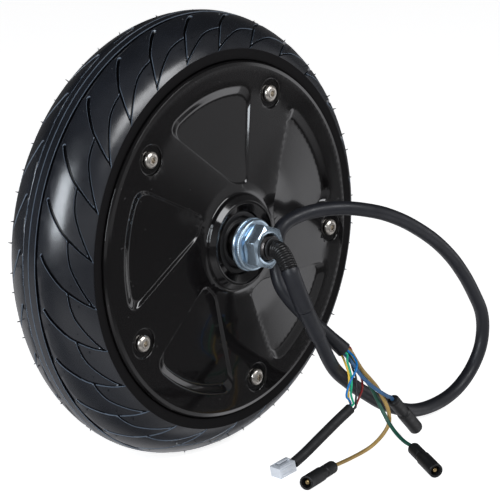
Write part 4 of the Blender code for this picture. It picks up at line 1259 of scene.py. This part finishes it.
def make_cover_screws():
    """Button-head screws with hexagon sockets, threaded into the shell's barrel."""
    socket = hexagon(0.0025)
    columns = 60
    screw_pitch = 0.0007
    head = rounded(
        [
            (0.0016, 0.02755), (0.0026, 0.02745, 0.0010), (0.0037, 0.0267, 0.0009),
            (0.0038, 0.0256, 0.0002), (0.0019, 0.0256), (0.0019, 0.0250),
        ],
        5,
    )
    for index, centre in enumerate(screw_centres()):
        shape = Shape()
        tip = shape.loop(0.0012, 0.0100, columns, centre)
        rings = [tip]
        for step in range(84):
            front = 0.0105 + step * screw_pitch / 4
            radius = (0.00192, 0.00176, 0.00160, 0.00176)[step % 4]
            rings.append(shape.loop(radius, front, columns, centre))
        rings += [shape.loop(radius, front, columns, centre) for radius, front in reversed(head)]
        rings.append(shape.loop(lambda turn: 1.06 * socket(turn), 0.0275, columns, centre))
        rings.append(shape.loop(socket, 0.0273, columns, centre))
        rings.append(shape.loop(socket, 0.0253, columns, centre))
        shape.join(rings)
        shape.faces.append(tuple(tip))
        shape.faces.append(tuple(rings[-1]))
        name = f"cover_screw_{index + 1}"
        add_piece(name, shape.mesh(name, 40.0), "stainless", "wheel", [name])


def make_nut(prefix, side):
    """A chamfered hexagon nut with its thread."""
    columns = 288
    sharp_outline = hexagon(NUT_ACROSS_FLATS, NUT_TURN + math.pi / 6)
    low, high = 0.0405, 0.0482
    flat_radius = 0.0084
    corner_radius = 0.01022

    def outline(angle):
        return min(sharp_outline(angle), corner_radius)

    def inset(distance):
        return lambda angle: outline(angle) - distance

    slope = math.tan(math.radians(30))

    def chamfer(end, direction, extra):
        def front(angle):
            return side * (end - direction * (slope * (outline(angle) - flat_radius) + extra))

        return front

    shape = Shape()
    rings = [
        shape.loop(0.0060, side * (low + 0.0009), columns),
        shape.loop(0.0068, side * low, columns),
        shape.loop(0.0082, side * low, columns),
        shape.loop(flat_radius, side * (low + 0.0001), columns),
        shape.loop(inset(EDGE), chamfer(low, -1, -0.3 * EDGE), columns),
        shape.loop(inset(0.3 * EDGE), chamfer(low, -1, 0.2 * EDGE), columns),
        shape.loop(outline, chamfer(low, -1, EDGE), columns),
        shape.loop(outline, chamfer(high, 1, EDGE), columns),
        shape.loop(inset(0.3 * EDGE), chamfer(high, 1, 0.2 * EDGE), columns),
        shape.loop(inset(EDGE), chamfer(high, 1, -0.3 * EDGE), columns),
        shape.loop(flat_radius, side * high, columns),
        shape.loop(0.0070, side * high, columns),
        shape.loop(0.0067, side * (high - 0.0001), columns),
        shape.loop(0.0060, side * (high - 0.0008), columns),
    ]
    for step in range(20):
        front = high - 0.0010 - step * AXLE_THREAD_PITCH / 4
        radius = (0.0063, 0.00615, 0.0060, 0.00615)[step % 4]
        rings.append(shape.loop(radius, side * front, columns))
    shape.join([*rings, rings[0]])
    name = f"{prefix}_axle_nut"
    add_piece(name, shape.mesh(name, 25.0), "zinc_plate", "axle", [name])


def make_washers(prefix, side):
    plain = rounded(
        [
            (0.0063, 0.0362, 0.0001), (0.0120, 0.0362, 0.0005), (0.0120, 0.0377, 0.0007),
            (0.0063, 0.0377, 0.0001),
        ]
    )
    if side < 0:
        plain = flipped(plain)
    name = f"{prefix}_washer"
    add_piece(name, turned_mesh(name, plain, FINE_COLUMNS), "zinc_plate", "axle", [name])

    teeth = 72
    columns = teeth * 8

    def toothed(radius, cut):
        def outline(angle):
            phase = (angle * teeth / math.tau) % 1.0
            return radius - cut * (0.5 - 0.5 * math.cos(math.tau * phase)) ** 3

        return outline

    shape = Shape()
    rings = [
        shape.loop(0.0064, side * 0.0381, columns),
        shape.loop(0.0104, side * 0.0380, columns),
        shape.loop(toothed(0.0111, 0.00004), side * 0.0381, columns),
        shape.loop(toothed(0.0115, 0.00012), side * 0.0384, columns),
        shape.loop(toothed(0.0116, 0.00018), side * 0.0388, columns),
        shape.loop(toothed(0.0116, 0.00018), side * 0.0393, columns),
        shape.loop(toothed(0.0114, 0.00012), side * 0.0398, columns),
        shape.loop(toothed(0.0109, 0.00004), side * 0.0401, columns),
        shape.loop(0.0104, side * 0.0402, columns),
        shape.loop(0.0064, side * 0.0401, columns),
    ]
    shape.join([*rings, rings[0]])
    name = f"{prefix}_lock_washer"
    add_piece(name, shape.mesh(name, 60.0), "zinc_plate", "axle", [name])


def make_axle():
    """The hollow axle: shoulders, bearing seats, threads with two flats, and the cable's bore."""
    columns = 128
    flat = 0.0050
    thread_depth = 0.0004

    def threaded(front_place):
        def radius(angle):
            phase = (front_place / AXLE_THREAD_PITCH + angle / math.tau) % 1.0
            crest = 0.0060 - thread_depth * abs(2 * phase - 1)
            across = abs(crest * math.sin(angle))
            return crest * flat / across if across > flat else crest

        return radius

    def half(side):
        profile = [(0.0090, 0.0115), (0.0086, 0.0117), (0.0086, 0.0183), (0.00735, 0.0184)]
        profile += [(0.00735, 0.0357), (0.0071, 0.0359), (0.0056, 0.0360)]
        rings = [shape.loop(radius, side * front, columns) for radius, front in profile]
        for front in np.arange(0.0362, 0.0482, AXLE_THREAD_PITCH / 6):
            rings.append(shape.loop(threaded(side * front), side * front, columns))
        bevelled = threaded(0.0)
        rings.append(shape.loop(lambda angle: min(0.0053, bevelled(angle)), side * 0.0489, columns))
        rings.append(shape.loop(0.0049, side * 0.0490, columns))
        return rings

    shape = Shape()
    front_half = half(1)
    rear_half = half(-1)
    bore = [
        shape.loop(0.0042, 0.0490, columns),
        shape.loop(0.0040, 0.0488, columns),
        shape.loop(0.0040, 0.0112, columns),
    ]
    shape.join([*reversed(rear_half), *front_half, *bore])
    shape.faces.append(tuple(bore[-1]))
    shape.faces.append(tuple(rear_half[-1]))
    axle = add_piece("axle", shape.mesh("axle", 30.0), "axle_steel", "axle", ["axle"])

    work = bmesh.new()
    place = Matrix.Translation((0.0, -0.0148, 0.0100))
    bmesh.ops.create_cone(
        work, cap_ends=True, segments=32, radius1=0.0031, radius2=0.0031, depth=0.0200, matrix=place
    )
    mesh = bpy.data.meshes.new("lead_hole")
    work.to_mesh(mesh)
    work.free()
    apply_boolean(axle, mesh, "DIFFERENCE")


def make_seal(prefix, side):
    """A lipped rubber seal with a ribbed face, between the boss and the axle."""
    profile = rounded(
        [
            (0.0138, 0.0311, 0.0003), (0.0138, 0.0283, 0.0003), (0.0115, 0.0283, 0.0003),
            (0.0085, 0.0286, 0.0003), (0.0078, 0.0287, 0.0002), (0.0078, 0.0301, 0.0002),
            (0.0090, 0.0305, 0.0003), (0.0098, 0.0296, 0.0004), (0.0112, 0.0296, 0.0004),
            (0.0118, 0.0311, 0.0003),
        ]
    )
    if side < 0:
        profile = flipped(profile)
    name = f"{prefix}_seal"
    add_piece(name, turned_mesh(name, profile, FINE_COLUMNS), "black_rubber", "wheel", [name])


def make_grommet():
    profile = rounded(
        [
            (0.0050, 0.0501, 0.0004), (0.0050, 0.0493, 0.0002), (0.0037, 0.0493),
            (0.0037, 0.0440, 0.0002), (0.0027, 0.0440, 0.0002), (0.0027, 0.0501, 0.0002),
        ]
    )
    mesh = turned_mesh("cable_grommet", profile, 64)
    add_piece("cable_grommet", mesh, "black_rubber", "axle", ["cable_grommet"])


# --- Tyre ----------------------------------------------------------------------------------------


def crown_radius(front):
    rise = 1 - abs(front / TYRE_HALF_WIDTH) ** TYRE_CROWN_POWER
    return SHOULDER_RADIUS + (TYRE_RADIUS - SHOULDER_RADIUS) * rise ** (1 / TYRE_CROWN_POWER)


# Distance along the crown's curve from the middle to a front, as a table worked out by formula
CROWN_FRONTS = np.linspace(0.0, TREAD_EDGE, 400)
CROWN_RADII = np.array([crown_radius(front) for front in CROWN_FRONTS])
CROWN_LENGTHS = np.concatenate(
    [[0.0], np.cumsum(np.hypot(np.diff(CROWN_FRONTS), np.diff(CROWN_RADII)))]
)
CROWN_SLOPES = np.gradient(CROWN_RADII, CROWN_FRONTS)
UNIT_LENGTH = TREAD_PITCH * TYRE_RADIUS
EDGE_COLUMNS = 12  # points of one unit along the tread's edge

# From the tread's edge over the sidewall to the bore, as (radius, front)
SIDEWALL = [
    (0.0850, 0.02398), (0.0846, 0.02400), (0.0840, 0.02392), (0.0836, 0.02392),
    (0.0830, 0.02400), (0.0815, 0.02402), (0.0806, 0.02398), (0.0803, 0.02380),
    (0.0801, 0.02330), (0.0801, 0.0212), (0.0763, 0.0212),
]

# One unit's grooves on the front half, as (degrees from the V's tip, front in millimetres): places
# picked on the photograph and laid on the crown by a script, with small changes by hand
LONG_LEG = [
    (0.3, 23.3), (-1.8, 20.9), (-4.8, 16.9), (-6.4, 14.6), (-9.1, 11.6), (-11.8, 8.7), (-14.3, 6.5)
]
SHORT_LEG = [(0.3, 23.3), (-4.2, 21.4), (-9.1, 19.0), (-12.2, 17.6), (-15.7, 16.8), (-18.4, 16.6)]
MAIN_GROOVE_FRONT = 3.9
MAIN_GROOVE_HALF_WIDTH = 0.55
MAIN_GROOVE_DEPTH = 1.5
SCALLOP_START = -13.6  # degrees from the tip at which the main groove's outer edge steps back in
SCALLOP_WIDTH = 3.2
SCALLOP_DEPTH = 0.55
CENTRE_LINE_HALF_WIDTH = 0.28
CENTRE_LINE_DEPTH = 0.6
LIP_REACH = 1.45  # in half widths of a groove
LIP_HEIGHT = 0.00010
FULL_SHADE_DEPTH = 0.0009  # a groove this deep gets the darkest painted shade


def along_crown(front):
    return float(np.interp(abs(front), CROWN_FRONTS, CROWN_LENGTHS)) * math.copysign(1.0, front)


def tread_place(degrees, front_mm):
    """Unrolled place of a point: distance round the crown and distance across it."""
    return (math.radians(degrees) * TYRE_RADIUS, along_crown(front_mm * MM))


def dense_line(corners, spacing):
    curve = smooth_route([(*tread_place(*corner), 0.0) for corner in corners], 16)
    return np.array([point[:2] for point in stretch(curve, 0.0, None, spacing)])


def groove_lines():
    """The legs of one V and of its mirror: (line, half width at its start and at its end, depth)."""
    lines = []
    for side in (1.0, -1.0):
        mirror = np.array([1.0, side])
        long_leg = dense_line(LONG_LEG, 0.0007) * mirror
        short_leg = dense_line(SHORT_LEG, 0.0007) * mirror
        lines.append((long_leg, 0.00048, 0.00080, 0.0014))
        lines.append((short_leg, 0.00045, 0.00050, 0.0011))
    return lines


COPIES = (-2, -1, 0, 1, 2)  # in units of the tread


def periodic(points):
    """The points and their copies in the two units behind and the two ahead."""
    shift = np.array([UNIT_LENGTH, 0.0])
    return np.concatenate([points + copy * shift for copy in COPIES])


def soft_step(value):
    value = np.clip(value, 0.0, 1.0)
    return value * value * (3 - 2 * value)


def groove_depth(points, lines):
    """How deep the grooves cut the tread at each unrolled point, with a low lip beside each leg."""
    depth = np.zeros(len(points))
    lip = np.zeros(len(points))
    for line, start_width, end_width, full_depth in lines:
        widths = np.tile(np.linspace(start_width, end_width, len(line)), len(COPIES))
        gaps = points[:, None, :] - periodic(line)[None, :, :]
        distances = np.sqrt((gaps**2).sum(axis=2))
        reach = (distances / widths).min(axis=1)
        depth = np.maximum(depth, full_depth * soft_step((1.12 - reach) / 0.62))
        lip = np.maximum(lip, 1.0 - np.abs(reach - LIP_REACH) / 0.35)
    across = np.abs(points[:, 1])
    from_main = np.abs(across - MAIN_GROOVE_FRONT * MM) / (MAIN_GROOVE_HALF_WIDTH * MM)
    depth = np.maximum(depth, MAIN_GROOVE_DEPTH * MM * soft_step((1.2 - from_main) / 0.6))
    from_middle = across / (CENTRE_LINE_HALF_WIDTH * MM)
    depth = np.maximum(depth, CENTRE_LINE_DEPTH * MM * soft_step((1.3 - from_middle) / 0.8))
    return np.where(depth > 0.0, depth, -LIP_HEIGHT * np.maximum(lip, 0.0))


def scallop_phase(points):
    start = math.radians(SCALLOP_START) * TYRE_RADIUS
    return ((points[:, 0] - start) / UNIT_LENGTH) % 1.0


def scallop_depth(points):
    """The sloping bank between the main groove and its scalloped outer edge."""
    across = np.abs(points[:, 1]) / MM
    inner_edge = MAIN_GROOVE_FRONT + MAIN_GROOVE_HALF_WIDTH
    width = 0.15 + SCALLOP_WIDTH * scallop_phase(points) ** 2.2
    share = 1.0 - (across - inner_edge) / width
    bank = SCALLOP_DEPTH * MM * np.clip(share, 0.0, 1.0)
    return np.where((across > inner_edge - 0.3) & (share > 0.0), bank, 0.0)


def tread_points(lines, edge):
    """Places of one unit's points: rows beside each groove, then an open field between them."""
    groups = []
    for line, start_width, end_width, _ in lines:
        tangents = np.gradient(line, axis=0)
        tangents /= np.linalg.norm(tangents, axis=1)[:, None]
        normals = np.stack([-tangents[:, 1], tangents[:, 0]], axis=1)
        widths = np.linspace(start_width, end_width, len(line))[:, None]
        for share in (0.0, -0.5, 0.5, -0.8, 0.8, -1.12, 1.12, -LIP_REACH, LIP_REACH, -1.8, 1.8):
            groups.append(line + share * widths * normals)
        round_end = np.array([polar(1.0, turn) for turn in np.arange(0, 6.2, 0.6)])
        groups.append(line[-1] + 1.12 * end_width * round_end)
    half = MAIN_GROOVE_HALF_WIDTH
    around = np.arange(0.0, 1.0, 1.0 / 22) * UNIT_LENGTH
    for side in (-1.0, 1.0):
        for share in (-1.2, -0.9, -0.6, 0.0, 0.6, 0.9, 1.2):
            across = side * (MAIN_GROOVE_FRONT + share * half) * MM
            groups.append(np.stack([around, np.full(len(around), across)], axis=1))
        phase = np.arange(0.02, 1.0, 0.035)
        scallop = math.radians(SCALLOP_START) * TYRE_RADIUS + phase * UNIT_LENGTH
        widths = 0.15 + SCALLOP_WIDTH * phase**2.2
        for share in (0.5, 1.0, 1.12):
            across = side * (MAIN_GROOVE_FRONT + half + share * widths) * MM
            groups.append(np.stack([scallop, across], axis=1))
        step_back = np.linspace(0.6, SCALLOP_WIDTH, 7)
        for phase_place in (-0.012, 0.0, 0.012):
            at = math.radians(SCALLOP_START) * TYRE_RADIUS + phase_place * UNIT_LENGTH
            across = side * (MAIN_GROOVE_FRONT + half + step_back) * MM
            groups.append(np.stack([np.full(len(across), at), across], axis=1))
    for share in (-1.3, -0.5, 0.0, 0.5, 1.3):
        across = np.full(len(around), share * CENTRE_LINE_HALF_WIDTH * MM)
        groups.append(np.stack([around, across], axis=1))
    points = np.concatenate(groups)
    points = points[np.abs(points[:, 1]) < edge - 0.0002]
    points[:, 0] %= UNIT_LENGTH
    kept = []
    for point in points:
        close = any(
            abs(point[1] - other[1]) < 0.00016
            and min(abs(point[0] - other[0]), UNIT_LENGTH - abs(point[0] - other[0])) < 0.00016
            for other in kept
        )
        if not close:
            kept.append(point)
    points = np.array(kept)
    field = []
    spacing = 0.0019
    count = round(2 * edge / spacing)
    columns = round(UNIT_LENGTH / spacing)
    for row in range(1, count):
        across = -edge + 2 * edge * row / count
        for column in range(columns):
            field.append(((column + 0.5 * (row % 2)) * UNIT_LENGTH / columns, across))
    field = np.array(field)
    field = field[nearest(field, periodic(points)) > 0.0009]
    return np.concatenate([points, field])


def unrolled_tread(lines, edge):
    """One unit's points, moved by a hair so that none line up, and the points of its two edges."""
    draws = random.Random(7)
    points = tread_points(lines, edge)
    points += np.array([(draws.uniform(-1, 1), draws.uniform(-1, 1)) for _ in points]) * 0.000004
    places = np.arange(EDGE_COLUMNS) * UNIT_LENGTH / EDGE_COLUMNS
    for across in (-edge, edge):
        line = np.stack([places, np.full(EDGE_COLUMNS, across)], axis=1)
        points = np.concatenate([points, line])
    return points


def add_tread(shape, points, depths):
    """Lays one unit's points on the crown, cuts them in, and repeats them round the tyre."""
    signs = np.sign(points[:, 1])
    fronts = np.interp(np.abs(points[:, 1]), CROWN_LENGTHS, CROWN_FRONTS) * signs
    radii = np.interp(np.abs(points[:, 1]), CROWN_LENGTHS, CROWN_RADII)
    slope = np.interp(np.abs(fronts), CROWN_FRONTS, CROWN_SLOPES) * np.sign(fronts)
    length = np.sqrt(1 + slope**2)
    radii = radii - depths / length
    fronts = fronts + depths * slope / length
    angles = FIRST_TIP_ANGLE + points[:, 0] / TYRE_RADIUS
    for unit in range(TREAD_UNITS):
        turned = angles + unit * TREAD_PITCH
        shape.add(zip(radii * np.cos(turned), radii * np.sin(turned), fronts))

    count = len(points)
    shifts = np.repeat(COPIES, count)
    found, _, triangles, origins, _, _ = delaunay_2d_cdt(
        [Vector(place) for place in periodic(points)], [], [], 0, MERGE
    )
    for triangle in triangles:
        middle = sum(found[i].x for i in triangle) / 3
        if not 0.0 <= middle < UNIT_LENGTH:
            continue
        corners = [(int(shifts[origins[i][0]]), origins[i][0] % count) for i in triangle]
        for unit in range(TREAD_UNITS):
            homes = [((unit + shift) % TREAD_UNITS, corner) for shift, corner in corners]
            shape.faces.append(tuple(home * count + corner for home, corner in homes))


def add_sidewalls(shape, count):
    """Joins the tread's front edge to its rear edge, round both sidewalls and the tyre's bore."""
    rear_ring, front_ring = (
        [unit * count + first + i for unit in range(TREAD_UNITS) for i in range(EDGE_COLUMNS)]
        for first in (count - 2 * EDGE_COLUMNS, count - EDGE_COLUMNS)
    )
    columns = TREAD_UNITS * EDGE_COLUMNS
    angles = [FIRST_TIP_ANGLE + math.tau * i / columns for i in range(columns)]
    profile = SIDEWALL + [(radius, -front) for radius, front in reversed(SIDEWALL)]
    rings = [shape.add((*polar(radius, angle), front) for angle in angles) for radius, front in profile]
    shape.join([front_ring, *rings, rear_ring])


def make_tyre():
    """One unit of tread laid out flat, cut by its grooves, then repeated round the crown."""
    shape = Shape()
    lines = groove_lines()
    points = unrolled_tread(lines, along_crown(TREAD_EDGE))
    cuts = groove_depth(points, lines)
    add_tread(shape, points, np.maximum(cuts, scallop_depth(points)))
    tread_count = len(shape.points)
    add_sidewalls(shape, len(points))

    mesh = bpy.data.meshes.new("tyre")
    mesh.from_pydata([tuple(point) for point in upright(shape.points)], [], shape.faces)
    work = bmesh.new()
    work.from_mesh(mesh)
    bmesh.ops.recalc_face_normals(work, faces=work.faces)
    work.to_mesh(mesh)
    work.free()
    groove, sidewall = np.zeros((2, len(mesh.vertices)), np.float32)
    groove[:tread_count] = np.tile(np.clip(cuts / FULL_SHADE_DEPTH, 0.0, 1.0), TREAD_UNITS)
    sidewall[tread_count:] = 1.0
    for name, values in (("groove", groove), ("sidewall", sidewall)):
        mesh.attributes.new(name, "FLOAT", "POINT").data.foreach_set("value", values)
    mesh.shade_smooth()
    mesh.set_sharp_from_angle(angle=math.radians(50.0))
    add_piece("tyre", mesh, "tyre_rubber", "wheel", ["tyre"])


def make_vent_hairs():
    """Short rubber hairs and stubs that the mould's vents leave beside the grooves."""
    draws = random.Random(3)
    shape = Shape()
    spots = [(-10.4, 7.8, 0.0011), (-7.0, 17.6, 0.0016), (-1.0, 19.6, 0.0019)]
    for unit in range(TREAD_UNITS):
        for side in (1, -1):
            for degrees, front, length in spots:
                angle = FIRST_TIP_ANGLE + unit * TREAD_PITCH + math.radians(degrees)
                length *= draws.uniform(0.4, 0.9)
                lean = Vector((draws.uniform(-1, 1), draws.uniform(-1, 1), draws.uniform(-1, 1)))
                radius = crown_radius(front * MM)
                x, z = polar(radius, angle)
                root = Vector((x, -side * front * MM, z))
                slope = np.interp(front * MM, CROWN_FRONTS, CROWN_SLOPES)
                out = Vector((*polar(1.0, angle), side * -float(slope)))
                out = Vector((out.x, -out.z, out.y)).normalized()
                if root.z + out.z * length < FLOOR_LEVEL + 0.0006:
                    continue
                points = [
                    root - out * 0.0003,
                    root,
                    root + out * 0.5 * length + lean * 0.00006,
                    root + out * length + lean * 0.00030,
                ]
                hair = tube_points(points, [0.00036, 0.00032, 0.00022, 0.00012], 8)
                start = len(shape.points)
                shape.faces.extend(tuple(start + i for i in face) for face in hair.faces)
                shape.points.extend(hair.points)
    mesh = solid_mesh("tyre_vent_hairs", shape.points, shape.faces)
    add_piece("tyre_vent_hairs", mesh, "tyre_rubber", "wheel")


cable_end_frame = make_cable()
make_phase_wires(cable_end_frame)
make_hall_harness(cable_end_frame)
make_tyre()
make_vent_hairs()
make_front_cover()
make_shell()
make_cover_screws()
make_axle()
make_grommet()
for prefix, side in (("front", 1), ("rear", -1)):
    make_nut(prefix, side)
    make_washers(prefix, side)
    make_seal(prefix, side)

# The pieces inside keep their CAD shapes, with the finishes of their slots
for node in nodes.values():
    slots = node.material_slots
    if not node.hide_render and slots and slots[0].material:
        finish_name = slots[0].material.name.split(".")[0]
        slots[0].material = FINISHES[finish_name].material
